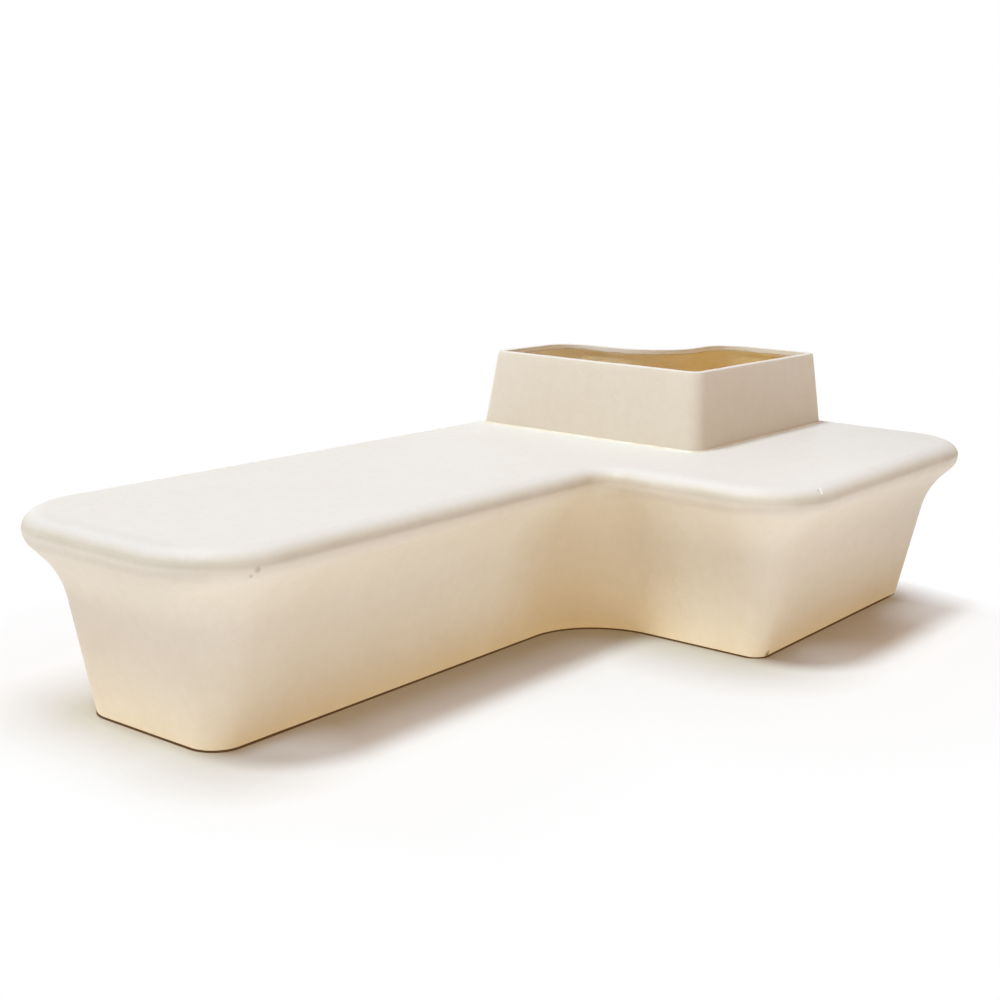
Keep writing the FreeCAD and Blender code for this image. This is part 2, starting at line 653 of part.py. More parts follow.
def foot_stud(x, y):
    """The threaded stud: its tip turns in the pad, its collar stops under the end plate."""
    tip = SOLE_THICKNESS + SOCKET_FLOOR
    shoulder = SOLE_THICKNESS + PAD_THICKNESS
    collar = LEG_FOOT_HEIGHT - COLLAR_HEIGHT
    shape = cylinder(STUD_TIP_DIAMETER, x, y, tip, shoulder)
    shape = shape.fuse(cylinder(STUD_DIAMETER, x, y, shoulder, LEG_FOOT_HEIGHT + STUD_REACH))
    return shape.fuse(hexagon(LEG_NUT_FLATS, x, y, collar, LEG_FOOT_HEIGHT)).removeSplitter()


def group(maker, places):
    return Part.makeCompound([maker(*place) for place in places])


def all_nodes():
    nodes = {"bench_shell": bench_shell(),
             "planter_surround": planter_surround(),
             "planter_liner": planter_liner(),
             "planter_seal": planter_seal()}
    nodes.update(core_nodes())
    nodes.update(frame_nodes())
    nodes.update(cradle_nodes())
    cleats = cleat_places()
    legs = leg_places()
    drains = drain_places()
    nodes["core_cleats"] = group(cleat, cleats)
    nodes["core_screws"] = group(core_screw, [screw_centre(*place) for place in cleats])
    nodes["leg_end_plates"] = group(end_plate, legs.values())
    nodes["leg_nuts"] = group(leg_nut, legs.values())
    nodes["drain_bodies"] = group(drain_body, drains)
    nodes["drain_gaskets"] = group(drain_gasket, drains)
    nodes["drain_nuts"] = group(drain_nut, drains)
    nodes["drain_grates"] = group(drain_grate, drains)
    for name, (x, y) in legs.items():
        nodes["foot_sole_" + name] = foot_sole(x, y)
        nodes["foot_pad_" + name] = foot_pad(x, y)
        nodes["foot_stud_" + name] = foot_stud(x, y)
    return nodes


os.makedirs("parts", exist_ok=True)
for node, shape in all_nodes().items():
    shape.exportStep("parts/" + node + ".step")
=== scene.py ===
import json
import math

import bpy
import numpy as np
from mathutils import Matrix, Vector, noise
from mathutils.geometry import delaunay_2d_cdt

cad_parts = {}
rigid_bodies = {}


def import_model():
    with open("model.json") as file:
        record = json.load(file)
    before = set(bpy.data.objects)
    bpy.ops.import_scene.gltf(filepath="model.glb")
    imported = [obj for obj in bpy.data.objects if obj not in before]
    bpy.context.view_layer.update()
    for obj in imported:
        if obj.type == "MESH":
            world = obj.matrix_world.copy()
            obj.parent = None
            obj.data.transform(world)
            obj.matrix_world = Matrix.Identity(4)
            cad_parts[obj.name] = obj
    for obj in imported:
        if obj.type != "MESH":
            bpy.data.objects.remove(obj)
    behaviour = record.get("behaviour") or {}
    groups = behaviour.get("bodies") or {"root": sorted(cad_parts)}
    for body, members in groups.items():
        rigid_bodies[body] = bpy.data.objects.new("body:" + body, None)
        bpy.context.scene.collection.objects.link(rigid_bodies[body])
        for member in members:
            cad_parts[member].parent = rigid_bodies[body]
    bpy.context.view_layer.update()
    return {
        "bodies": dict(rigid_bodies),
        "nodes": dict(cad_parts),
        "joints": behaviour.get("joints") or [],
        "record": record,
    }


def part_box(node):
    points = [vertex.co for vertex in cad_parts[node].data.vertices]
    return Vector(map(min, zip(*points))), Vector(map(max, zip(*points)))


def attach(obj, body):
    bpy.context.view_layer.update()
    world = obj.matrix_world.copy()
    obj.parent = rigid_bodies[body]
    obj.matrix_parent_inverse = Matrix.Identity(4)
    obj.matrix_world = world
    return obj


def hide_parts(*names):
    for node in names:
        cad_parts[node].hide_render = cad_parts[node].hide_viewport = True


# Looks of a moulded bench with a planter, in metres and in the part's own frame: the gelcoated
# seat shell, the planter surround with its rolled rim, the raw laminate liner and the sealant
# bead are modelled here, and the frame, cores, drains and feet get their finishes.

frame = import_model()

# Plan and heights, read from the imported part
SHELL_LOW, SHELL_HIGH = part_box("bench_shell")
SURROUND_LOW, SURROUND_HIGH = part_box("planter_surround")
LINER_LOW, LINER_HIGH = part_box("planter_liner")
END_X = SHELL_HIGH.x
REAR_Y = SHELL_HIGH.y
SEAT_HEIGHT = SHELL_HIGH.z
OVERALL_HEIGHT = SURROUND_HIGH.z
SURROUND_BOTTOM = SURROUND_LOW.z
RIM_UNDERSIDE = LINER_HIGH.z
LINER_FLOOR = LINER_LOW.z
LONG_ARM_DEPTH = 0.680
CROSS_ARM_WIDTH = 1.120

# Shell section, from the ground up
SHELL_THICKNESS = 0.008
GROUND_GAP = SHELL_LOW.z
BASE_FLANGE_WIDTH = 0.030
FOOT_EDGE_RADIUS = 0.003
WALL_DRAFT = math.radians(11.6)
WALL_HEIGHT = 0.255
FLARE_RADIUS = 0.195
FLARE_ANGLE = math.radians(33.4)
FLARE_STRAIGHT = 0.026
NOSE_LOWER_RADIUS = 0.048
NOSE_FLAT_INSET = 0.047
NOSE_LOW = 0.33

# Corner radii of the shell at its foot
END_CORNER_RADIUS = 0.070
FRONT_CORNER_RADIUS = 0.040
INNER_CORNER_RADIUS = 0.200
LOBE_CORNER_RADIUS = 0.047
NOTCH_CORNER_RADIUS = 0.226

# Planter, sizes at seat height
PLANTER_LENGTH = 0.725
PLANTER_DEPTH = 0.700
PLANTER_REAR_MARGIN = 0.054
PLANTER_END_MARGIN = 0.067
PLANTER_NOTCH_LENGTH = 0.339
PLANTER_NOTCH_DEPTH = 0.337
PLANTER_TAPER = math.tan(math.radians(6.5))
PLANTER_FRONT_CORNER = 0.040
PLANTER_SIDE_CORNER = 0.022
PLANTER_LOBE_CORNER = 0.131
PLANTER_INNER_CORNER = 0.142
SURROUND_THICKNESS = 0.009
SURROUND_FLANGE_WIDTH = 0.030
RIM_WIDTH = 0.018
RIM_EDGE_RADIUS = 0.005
OPENING_CLEARANCE = 0.001
LINER_THICKNESS = 0.006
LINER_FLOOR_INSET = 0.057
LINER_FLOOR_CORNER = 0.015
DRAIN_HOLE_RADIUS = 0.0215

# How fine the meshes are: steps in metres, and the spans that arcs and walls are cut into
PLAN_STEP = 0.009
LINER_STEP = 0.006
FIELD_STEP = 0.018
HIDDEN_FIELD_STEP = 3 * FIELD_STEP
FIELD_CLEARANCE = 0.6
MERGE_DISTANCE = 1e-7
LEAST_ARC_SPANS = 6
SHELL_FINENESS = 3
WALL_SPANS = 8
FLARE_SPANS = 8
NOSE_SPANS = 7
ROUND_SPANS = 8
FOOT_EDGE_SPANS = 4
RIM_SPANS = 5
SURROUND_SPANS = 20
LINER_UPPER_SPANS = 24
LINER_LOWER_SPANS = 20

# Unevenness made by hand: the height, the wavelength and the seed of each swell
SHELL_SWELLS = ((0.0010, 0.23, 1.0), (0.0004, 0.07, 5.0))
WALL_SWELLS = ((0.0009, 0.19, 2.0),)
RIM_SWELLS = ((0.0012, 0.06, 4.0), (0.0006, 0.018, 6.0))
RIM_SWELL_REACH = 0.014
LINER_SWELLS = ((0.0022, 0.06, 9.0), (0.0012, 0.015, 11.0))
LINER_SINK = 0.0012
LINER_SWELL_REACH = 0.012
SEED_SHIFT = (1.0, 0.37, 0.71)

# The gelcoat's brushed lower edge inside the rim, and how the laminate tucks in behind it
LIP_RISE = 0.009
BRUSH_RISE = 0.0005
BRUSH_SWELLS = ((0.0035, 0.045, 8.0),)
STROKE_HEIGHT = 0.0040
STROKE_WAVELENGTH = 0.014
STROKE_SEED = 3.0
STROKE_THRESHOLD = 0.45
LAMINATE_TUCK = 0.0005
LINER_EDGE_BACK = 0.0006
LINER_EDGE_DROP = 0.0004
LINER_LIP_BACK = 0.0008
LINER_LIP_DROP = 0.004

# Sealant bead: its section as shares of its width with rises, and how its width and rise vary
SEAL_WIDTH = 0.010
SEAL_SECTION = ((1.0, 0.0002), (0.72, 0.0016), (0.42, 0.0028), (0.15, 0.0040), (-0.02, 0.0052))
SEAL_LEAST_SHARE = 0.25
SEAL_SWELLS = ((0.30, 0.05, 12.0), (0.10, 0.012, 14.0))
SEAL_SINK = 0.0012
SEAL_LEAST_RISE = 0.6
SEAL_MORE_RISE = 0.9
SEAL_TUCK = 0.0012
SEAL_BACK_RISE = 0.001
SEAL_SHARP = 80.0

LEAN = WALL_DRAFT + FLARE_ANGLE
RIM_OVERHANG = (WALL_HEIGHT * math.tan(WALL_DRAFT)
                + FLARE_RADIUS * (math.cos(WALL_DRAFT) - math.cos(LEAN))
                + FLARE_STRAIGHT * math.sin(LEAN) + NOSE_LOWER_RADIUS * (1 - math.cos(LEAN)))
FLAT_OFFSET = RIM_OVERHANG - NOSE_FLAT_INSET
SEAT_UNDERSIDE = SEAT_HEIGHT - SHELL_THICKNESS
PLANTER_RIGHT = END_X - PLANTER_END_MARGIN
PLANTER_LEFT = PLANTER_RIGHT - PLANTER_LENGTH
PLANTER_REAR = REAR_Y - PLANTER_REAR_MARGIN
PLANTER_FRONT = PLANTER_REAR - PLANTER_DEPTH
PLANTER_NOTCH_X = PLANTER_RIGHT - PLANTER_NOTCH_LENGTH
PLANTER_NOTCH_Y = PLANTER_REAR - PLANTER_NOTCH_DEPTH


# Camera, at the photograph's place and with its lens

CAMERA_PLACE = (-2.99729, -2.08022, 1.13604)
CAMERA_RIGHT = (0.6045552, -0.79616513, 0.0251812)
CAMERA_UP = (0.15113854, 0.14568799, 0.97771783)
CAMERA_FORWARD = (0.78209344, 0.58727855, -0.20840766)
CAMERA_LENS = 55.17
CAMERA_SENSOR = 36.0


def make_camera():
    data = bpy.data.cameras.new("camera")
    data.sensor_width = CAMERA_SENSOR
    data.lens = CAMERA_LENS
    camera = bpy.data.objects.new("camera", data)
    bpy.context.scene.collection.objects.link(camera)
    axes = Matrix((CAMERA_RIGHT, CAMERA_UP, -Vector(CAMERA_FORWARD))).transposed()
    camera.matrix_world = Matrix.Translation(CAMERA_PLACE) @ axes.to_4x4()
    bpy.context.scene.camera = camera


# Plan outlines: corners counterclockwise as (x, y, radius, bend), where bend is 1 at an outer
# corner and -1 at an inner one, and neighbouring edges are square to each other


def unit(a, b):
    length = math.hypot(b[0] - a[0], b[1] - a[1])
    return ((b[0] - a[0]) / length, (b[1] - a[1]) / length)


def outward(direction):
    return (direction[1], -direction[0])


def corner_frames(corners):
    frames = []
    for i, corner in enumerate(corners):
        following = corners[(i + 1) % len(corners)]
        frames.append((unit(corners[i - 1], corner), unit(corner, following)))
    return frames


def offset_corners(corners, distance):
    """The outline moved outward by distance, with every arc kept concentric."""
    moved = []
    for (x, y, radius, bend), (into, out) in zip(corners, corner_frames(corners)):
        a = outward(into)
        b = outward(out)
        moved.append((x + distance * (a[0] + b[0]), y + distance * (a[1] + b[1]),
                      radius + bend * distance, bend))
    return moved


def corner_arc(corner, frame, count):
    """Points along a corner's arc, both ends included."""
    x, y, radius, bend = corner
    into, out = frame
    start = (x - radius * into[0], y - radius * into[1])
    centre = (start[0] + radius * out[0], start[1] + radius * out[1])
    points = []
    for i in range(count + 1):
        turn = math.pi / 2 * i / count
        a = radius * math.sin(turn)
        b = radius * math.cos(turn)
        points.append((centre[0] + a * into[0] - b * out[0], centre[1] + a * into[1] - b * out[1]))
    return points


def plan_counts(corners, step):
    """How many spans each arc and each straight edge of an outline is cut into."""
    frames = corner_frames(corners)
    arcs = [corner_arc(c, f, 1) for c, f in zip(corners, frames)]
    counts = []
    for i, corner in enumerate(corners):
        following = arcs[(i + 1) % len(arcs)][0]
        edge = math.dist(arcs[i][-1], following)
        arc_spans = max(LEAST_ARC_SPANS, math.ceil(corner[2] * math.pi / 2 / step))
        counts.append((arc_spans, max(1, math.ceil(edge / step))))
    return counts


def plan_points(corners, counts):
    """The outline as points, with the same number on every outline that shares its counts."""
    frames = corner_frames(corners)
    arcs = [corner_arc(c, f, n[0]) for c, f, n in zip(corners, frames, counts)]
    points = []
    for i, arc in enumerate(arcs):
        following = arcs[(i + 1) % len(arcs)][0]
        points += arc
        spans = counts[i][1]
        for k in range(1, spans):
            share = k / spans
            points.append((arc[-1][0] + share * (following[0] - arc[-1][0]),
                           arc[-1][1] + share * (following[1] - arc[-1][1])))
    return points


def foot_outline():
    """The bench shell's plan at its foot, inside the rim by the overhang."""
    left = -END_X
    front = REAR_Y - LONG_ARM_DEPTH
    arm = END_X - CROSS_ARM_WIDTH
    notch_x = PLANTER_NOTCH_X + PLANTER_REAR_MARGIN
    notch_y = PLANTER_NOTCH_Y + PLANTER_REAR_MARGIN
    rim = [(left, front, END_CORNER_RADIUS + RIM_OVERHANG, 1),
           (arm, front, INNER_CORNER_RADIUS - RIM_OVERHANG, -1),
           (arm, -REAR_Y, FRONT_CORNER_RADIUS + RIM_OVERHANG, 1),
           (END_X, -REAR_Y, FRONT_CORNER_RADIUS + RIM_OVERHANG, 1),
           (END_X, notch_y, LOBE_CORNER_RADIUS + RIM_OVERHANG, 1),
           (notch_x, notch_y, NOTCH_CORNER_RADIUS - RIM_OVERHANG, -1),
           (notch_x, REAR_Y, LOBE_CORNER_RADIUS + RIM_OVERHANG, 1),
           (left, REAR_Y, END_CORNER_RADIUS + RIM_OVERHANG, 1)]
    return offset_corners(rim, -RIM_OVERHANG)


def planter_outline(inset, thinning=0.0):
    """The surround's plan, inset by its draft and thinned by its wall."""
    small = [max(r - thinning, LINER_FLOOR_CORNER) for r in (PLANTER_FRONT_CORNER, PLANTER_SIDE_CORNER)]
    total = inset + thinning
    lobe = PLANTER_LOBE_CORNER - total
    low = (PLANTER_LEFT + total, PLANTER_FRONT + total)
    high = (PLANTER_RIGHT - total, PLANTER_REAR - total)
    notch = (PLANTER_NOTCH_X - total, PLANTER_NOTCH_Y - total)
    return [(low[0], low[1], small[0], 1),
            (high[0], low[1], small[1], 1),
            (high[0], notch[1], lobe, 1),
            (notch[0], notch[1], PLANTER_INNER_CORNER + total, -1),
            (notch[0], high[1], lobe, 1),
            (low[0], high[1], small[1], 1)]


def taper(z):
    return (z - SEAT_HEIGHT) * PLANTER_TAPER


# Meshes, made ring by ring


def inside(points, outline):
    """Which of the points lie inside a closed outline."""
    found = np.zeros(len(points), bool)
    for a, b in zip(outline, np.roll(outline, -1, axis=0)):
        if a[1] == b[1]:
            continue
        crosses = (a[1] > points[:, 1]) != (b[1] > points[:, 1])
        at = a[0] + (points[:, 1] - a[1]) * (b[0] - a[0]) / (b[1] - a[1])
        found ^= crosses & (points[:, 0] < at)
    return found


def field_points(outline, holes, step):
    """A square grid of points inside an outline, clear of it and of its holes."""
    low = outline.min(axis=0)
    high = outline.max(axis=0)
    x, y = np.meshgrid(np.arange(low[0], high[0], step), np.arange(low[1], high[1], step))
    points = np.column_stack((x.ravel(), y.ravel()))
    keep = inside(points, outline)
    for hole in holes:
        keep &= ~inside(points, hole)
    points = points[keep]
    edges = np.vstack([outline] + holes)
    gaps = np.array([np.min(np.hypot(*(edges - p).T)) for p in points])
    return points[gaps > FIELD_CLEARANCE * step]


class Skin:
    """Points and faces of a piece while it is being made."""

    def __init__(self):
        self.points = []
        self.faces = []
        self.kinds = []

    def ring(self, plan, z):
        first = len(self.points)
        heights = z if isinstance(z, list) else [z] * len(plan)
        self.points += [(p[0], p[1], h) for p, h in zip(plan, heights)]
        return list(range(first, len(self.points)))

    def face(self, corners, kind):
        self.faces.append(corners)
        self.kinds.append(kind)

    def bridge(self, first, second, kind=0):
        for i in range(len(first)):
            j = (i + 1) % len(first)
            self.face((first[i], first[j], second[j], second[i]), kind)

    def stack(self, rings, kind=0):
        for first, second in zip(rings, rings[1:]):
            self.bridge(first, second, kind)

    def fill(self, outer, holes, step, facing, kind=0):
        """A level field between an outer ring and the rings of its holes, facing up or down."""
        loops = [outer] + holes
        height = self.points[outer[0]][2]
        outlines = [np.array([self.points[i][:2] for i in loop]) for loop in loops]
        extra = field_points(outlines[0], outlines[1:], step)
        index = [i for loop in loops for i in loop]
        index += self.ring([tuple(p) for p in extra], height)
        edges = []
        first = 0
        for loop in loops:
            n = len(loop)
            edges += [(first + i, first + (i + 1) % n) for i in range(n)]
            first += n
        flat = [Vector(self.points[i][:2]) for i in index]
        result = delaunay_2d_cdt(flat, edges, [], 0, MERGE_DISTANCE)
        triangles = [[result[3][v][0] for v in face] for face in result[2]]
        places = np.array([self.points[i][:2] for i in index])
        middles = np.array([places[t].mean(axis=0) for t in triangles])
        keep = inside(middles, outlines[0])
        for hole in outlines[1:]:
            keep &= ~inside(middles, hole)
        for triangle, kept in zip(triangles, keep):
            if kept:
                a, b, c = places[triangle]
                upward = (b[0] - a[0]) * (c[1] - a[1]) > (b[1] - a[1]) * (c[0] - a[0])
                order = triangle if upward == (facing > 0) else triangle[::-1]
                self.face(tuple(index[i] for i in order), kind)

    def make(self, name, materials, sharp=40.0):
        mesh = bpy.data.meshes.new(name)
        mesh.from_pydata(self.points, [], self.faces)
        for material in materials:
            mesh.materials.append(material)
        mesh.polygons.foreach_set("material_index", self.kinds)
        mesh.polygons.foreach_set("use_smooth", [True] * len(self.faces))
        mesh.update()
        mesh.set_sharp_from_angle(angle=math.radians(sharp))
        piece = bpy.data.objects.new(name, mesh)
        bpy.context.scene.collection.objects.link(piece)
        return piece


def press_in(piece, depth_at, count):
    """Move the first points of a piece against their normals by a depth that depends on place."""
    vertices = piece.data.vertices
    normals = [vertices[i].normal.copy() for i in range(count)]
    for i in range(count):
        vertices[i].co -= normals[i] * depth_at(vertices[i].co)
    piece.data.update()


def swell(place, wavelength, seed):
    """Smooth noise from 0 to 1, the same every run."""
    shifted = Vector(place) / wavelength + Vector([seed * shift for shift in SEED_SHIFT])
    return min(1.0, max(0.0, 0.5 + 0.5 * noise.noise(shifted)))


def swells(place, layers):
    """Several swells together, each given by its height, wavelength and seed."""
    return sum(height * swell(place, wavelength, seed) for height, wavelength, seed in layers)


# Bench shell


def polar(centre, radius, angle):
    return (centre[0] + radius * math.cos(angle), centre[1] + radius * math.sin(angle))


def arc_points(centre, radius, first, last, count):
    return [polar(centre, radius, first + (last - first) * i / count) for i in range(count + 1)]


def run_points(first, last, count):
    """Points from first up to, but without, last."""
    return [(first[0] + (last[0] - first[0]) * i / count, first[1] + (last[1] - first[1]) * i / count)
            for i in range(count)]


def wall_profile(depth, fineness):
    """The laminate's section from the foot of the wall to the edge of the flat, at a depth in it."""
    wall_top = (WALL_HEIGHT * math.tan(WALL_DRAFT), GROUND_GAP + WALL_HEIGHT)
    flare = polar(wall_top, FLARE_RADIUS, -WALL_DRAFT)
    flare_end = polar(flare, FLARE_RADIUS, math.pi - LEAN)
    nose_start = polar(flare_end, FLARE_STRAIGHT, math.pi / 2 - LEAN)
    nose = polar(nose_start, NOSE_LOWER_RADIUS, math.pi - LEAN)
    top = polar(flare, FLARE_RADIUS + depth, math.pi - WALL_DRAFT)
    foot_height = GROUND_GAP + depth
    foot = (top[0] - (top[1] - foot_height) * math.tan(WALL_DRAFT), foot_height)
    points = run_points(foot, top, WALL_SPANS * fineness)
    points += arc_points(flare, FLARE_RADIUS + depth, math.pi - WALL_DRAFT, math.pi - LEAN,
                         FLARE_SPANS * fineness)
    points += arc_points(nose, NOSE_LOWER_RADIUS - depth, -LEAN, 0, NOSE_SPANS * fineness)
    width = NOSE_FLAT_INSET - depth
    rise = SEAT_HEIGHT - nose[1] - depth
    count = ROUND_SPANS * fineness
    for i in range(1, count + 1):
        turn = math.pi / 2 * i / count
        points.append((FLAT_OFFSET + width * math.cos(turn), nose[1] + rise * math.sin(turn)))
    return points


def foot_edge():
    """The rounded edge between the base flange's underside and the wall."""
    centre = (-FOOT_EDGE_RADIUS, GROUND_GAP + FOOT_EDGE_RADIUS)
    return arc_points(centre, FOOT_EDGE_RADIUS, -math.pi / 2, 0, FOOT_EDGE_SPANS)


def shell_wear(place):
    """How far the moulding lies inside its true form."""
    return swells(place, SHELL_SWELLS)


def bench_skin(gelcoat, laminate):
    skin = Skin()
    foot = foot_outline()
    counts = plan_counts(offset_corners(foot, RIM_OVERHANG / 2), PLAN_STEP)

    def rings(profile):
        return [skin.ring(plan_points(offset_corners(foot, d), counts), z) for d, z in profile]

    outer = rings(foot_edge() + wall_profile(0, SHELL_FINENESS)[1:])
    hole = planter_outline(0, -OPENING_CLEARANCE)
    hole_plan = plan_points(hole, plan_counts(hole, PLAN_STEP))
    hole_top = skin.ring(hole_plan, SEAT_HEIGHT)
    skin.stack(outer)
    skin.fill(outer[-1], [hole_top], FIELD_STEP, 1)
    outside = len(skin.points)

    hole_bottom = skin.ring(hole_plan, SEAT_UNDERSIDE)
    skin.bridge(hole_top, hole_bottom, 1)
    inner = rings(wall_profile(SHELL_THICKNESS, 1))
    flange_top = rings([(-BASE_FLANGE_WIDTH, GROUND_GAP + SHELL_THICKNESS)])[0]
    flange_bottom = rings([(-BASE_FLANGE_WIDTH, GROUND_GAP)])[0]
    skin.fill(inner[-1], [hole_bottom], HIDDEN_FIELD_STEP, -1, 1)
    skin.stack(inner[::-1], 1)
    skin.stack([inner[0], flange_top, flange_bottom, outer[0]], 1)

    piece = skin.make("shell_skin", [gelcoat, laminate])
    press_in(piece, shell_wear, outside)
    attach(piece, "bench")
    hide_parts("bench_shell")
    return piece


# Planter surround


def rim_section():
    """The rolled rim from the top of the outer wall over to the inside of the lip.

    Each point is its depth in from the outer face and its height.
    """
    top = OVERALL_HEIGHT - RIM_EDGE_RADIUS
    outer = arc_points((RIM_EDGE_RADIUS, top), RIM_EDGE_RADIUS, math.pi, math.pi / 2, RIM_SPANS)
    inner = arc_points((RIM_WIDTH - RIM_EDGE_RADIUS, top), RIM_EDGE_RADIUS, math.pi / 2, 0, RIM_SPANS)
    return outer + inner


def surround_plan(depth, z):
    return planter_outline(taper(z), depth)


def brushed_edge(plan):
    """Heights of the gelcoat's uneven lower edge inside the rim, where the bare laminate starts."""
    heights = []
    for x, y in plan:
        height = RIM_UNDERSIDE + BRUSH_RISE + swells((x, y, 0), BRUSH_SWELLS)
        stroke = max(0.0, swell((x, y, 0), STROKE_WAVELENGTH, STROKE_SEED) - STROKE_THRESHOLD)
        heights.append(height + STROKE_HEIGHT * stroke)
    return heights


def flange_outline():
    """The flange's edge, kept to where the seat's underside is flat."""
    wide = planter_outline(taper(SURROUND_BOTTOM), -SURROUND_FLANGE_WIDTH)
    flat = offset_corners(foot_outline(), FLAT_OFFSET)
    right, notch_y = flat[4][:2]
    notch_x, rear = flat[6][:2]
    return [wide[0],
            (right, wide[1][1], wide[1][2], 1),
            (right, notch_y, flat[4][2], 1),
            (notch_x, notch_y, flat[5][2], -1),
            (notch_x, rear, flat[6][2], 1),
            (wide[5][0], rear, wide[5][2], 1)]


def surround_skin(gelcoat, laminate, lit_lip_gelcoat):
    skin = Skin()
    counts = plan_counts(planter_outline(0), LINER_STEP)

    def ring(depth, z):
        return skin.ring(plan_points(surround_plan(depth, z), counts), z)

    wall_rise = OVERALL_HEIGHT - RIM_EDGE_RADIUS - SEAT_UNDERSIDE
    outer = [ring(0, SEAT_UNDERSIDE + wall_rise * i / SURROUND_SPANS) for i in range(SURROUND_SPANS)]
    rim = [ring(depth, z) for depth, z in rim_section()]
    middle = ring(RIM_WIDTH, RIM_UNDERSIDE + LIP_RISE)
    lip_plan = plan_points(surround_plan(RIM_WIDTH, RIM_UNDERSIDE), counts)
    edge = brushed_edge(lip_plan)
    lip = skin.ring(lip_plan, edge)
    skin.stack(outer + rim)
    # The inside of the rim takes the lit copy of the gelcoat, painted light
    skin.stack([rim[-1], middle, lip], 2)
    seen = len(skin.points)
    tuck_plan = plan_points(surround_plan(SURROUND_THICKNESS, RIM_UNDERSIDE), counts)
    tuck = skin.ring(tuck_plan, [z + LAMINATE_TUCK for z in edge])
    bottom = ring(SURROUND_THICKNESS, SURROUND_BOTTOM)
    flange = plan_points(flange_outline(), counts)
    flange_bottom = skin.ring(flange, SURROUND_BOTTOM)
    flange_top = skin.ring(flange, SEAT_UNDERSIDE)
    skin.stack([lip, tuck, bottom, flange_bottom, flange_top, outer[0]], 1)

    piece = skin.make("surround_skin", [gelcoat, laminate, lit_lip_gelcoat])
    press_in(piece, surround_wear, seen)
    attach(piece, "bench")
    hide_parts("planter_surround")
    return piece


def surround_wear(place):
    """Long swells in the walls, and a rim that was rolled by hand."""
    near_rim = max(0.0, 1 - (OVERALL_HEIGHT - place.z) / RIM_SWELL_REACH)
    return swells(place, WALL_SWELLS) + near_rim * swells(place, RIM_SWELLS)


# Liner


def liner_plan(thinning, z):
    """The liner's plan: it follows the surround down to its flange and then narrows to its floor."""
    if z >= SURROUND_BOTTOM:
        return planter_outline(taper(z), thinning)
    share = (z - LINER_FLOOR) / (SURROUND_BOTTOM - LINER_FLOOR)
    low = planter_outline(0, LINER_FLOOR_INSET + thinning - SURROUND_THICKNESS)
    high = planter_outline(taper(SURROUND_BOTTOM), thinning)
    return [tuple(a[i] + share * (b[i] - a[i]) for i in range(3)) + (a[3],) for a, b in zip(low, high)]


def liner_roughness(place):
    """Hand-laid mat: lumps and wrinkles of a millimetre or two, none where it meets the gelcoat."""
    share = min(1.0, max(0.0, (RIM_UNDERSIDE - place.z) / LINER_SWELL_REACH))
    return share * (swells(place, LINER_SWELLS) - LINER_SINK)


def liner_skin(laminate):
    skin = Skin()
    counts = plan_counts(planter_outline(0), LINER_STEP)
    inner_depth = SURROUND_THICKNESS + LINER_THICKNESS
    floor = LINER_FLOOR + LINER_THICKNESS

    def ring(depth, z):
        return skin.ring(plan_points(liner_plan(depth, z), counts), z)

    upper = [RIM_UNDERSIDE - (RIM_UNDERSIDE - SURROUND_BOTTOM) * i / LINER_UPPER_SPANS
             for i in range(1, LINER_UPPER_SPANS)]
    lower = [SURROUND_BOTTOM - (SURROUND_BOTTOM - floor) * i / LINER_LOWER_SPANS
             for i in range(LINER_LOWER_SPANS + 1)]
    edge_plan = plan_points(liner_plan(RIM_WIDTH - LINER_EDGE_BACK, RIM_UNDERSIDE), counts)
    lip_plan = plan_points(surround_plan(RIM_WIDTH, RIM_UNDERSIDE), counts)
    edge = [z - LINER_EDGE_DROP for z in brushed_edge(lip_plan)]
    inner = [skin.ring(edge_plan, edge), ring(RIM_WIDTH - LINER_LIP_BACK, RIM_UNDERSIDE - LINER_LIP_DROP)]
    inner += [ring(inner_depth, z) for z in upper + lower]
    drains = [drain_centre(i) for i in range(2)]
    inner_holes = [skin.ring(circle(x, y, DRAIN_HOLE_RADIUS), floor) for x, y in drains]
    skin.stack(inner)
    skin.fill(inner[-1], inner_holes, FIELD_STEP, 1)
    seen = len(skin.points)

    outer = [skin.ring(plan_points(liner_plan(SURROUND_THICKNESS, RIM_UNDERSIDE), counts), edge)]
    outer += [ring(SURROUND_THICKNESS, z) for z in (SURROUND_BOTTOM, LINER_FLOOR)]
    outer_holes = [skin.ring(circle(x, y, DRAIN_HOLE_RADIUS), LINER_FLOOR) for x, y in drains]
    skin.fill(outer[-1], outer_holes, HIDDEN_FIELD_STEP, -1)
    skin.stack(outer[::-1] + [inner[0]])
    for low, high in zip(outer_holes, inner_holes):
        skin.bridge(high, low)

    piece = skin.make("liner_laminate", [laminate])
    press_in(piece, liner_roughness, seen)
    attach(piece, "bench")
    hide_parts("planter_liner")
    return piece


def circle(x, y, radius, count=40):
    return [polar((x, y), radius, 2 * math.pi * i / count) for i in range(count)]


def drain_centre(which):
    """The middle of one of the two drain outlets, left one first."""
    points = np.array([v.co for v in frame["nodes"]["drain_bodies"].data.vertices])
    split = points[:, 0].mean()
    side = points[points[:, 0] < split] if which == 0 else points[points[:, 0] >= split]
    middle = (side.min(axis=0) + side.max(axis=0)) / 2
    return float(middle[0]), float(middle[1])


# Sealant bead


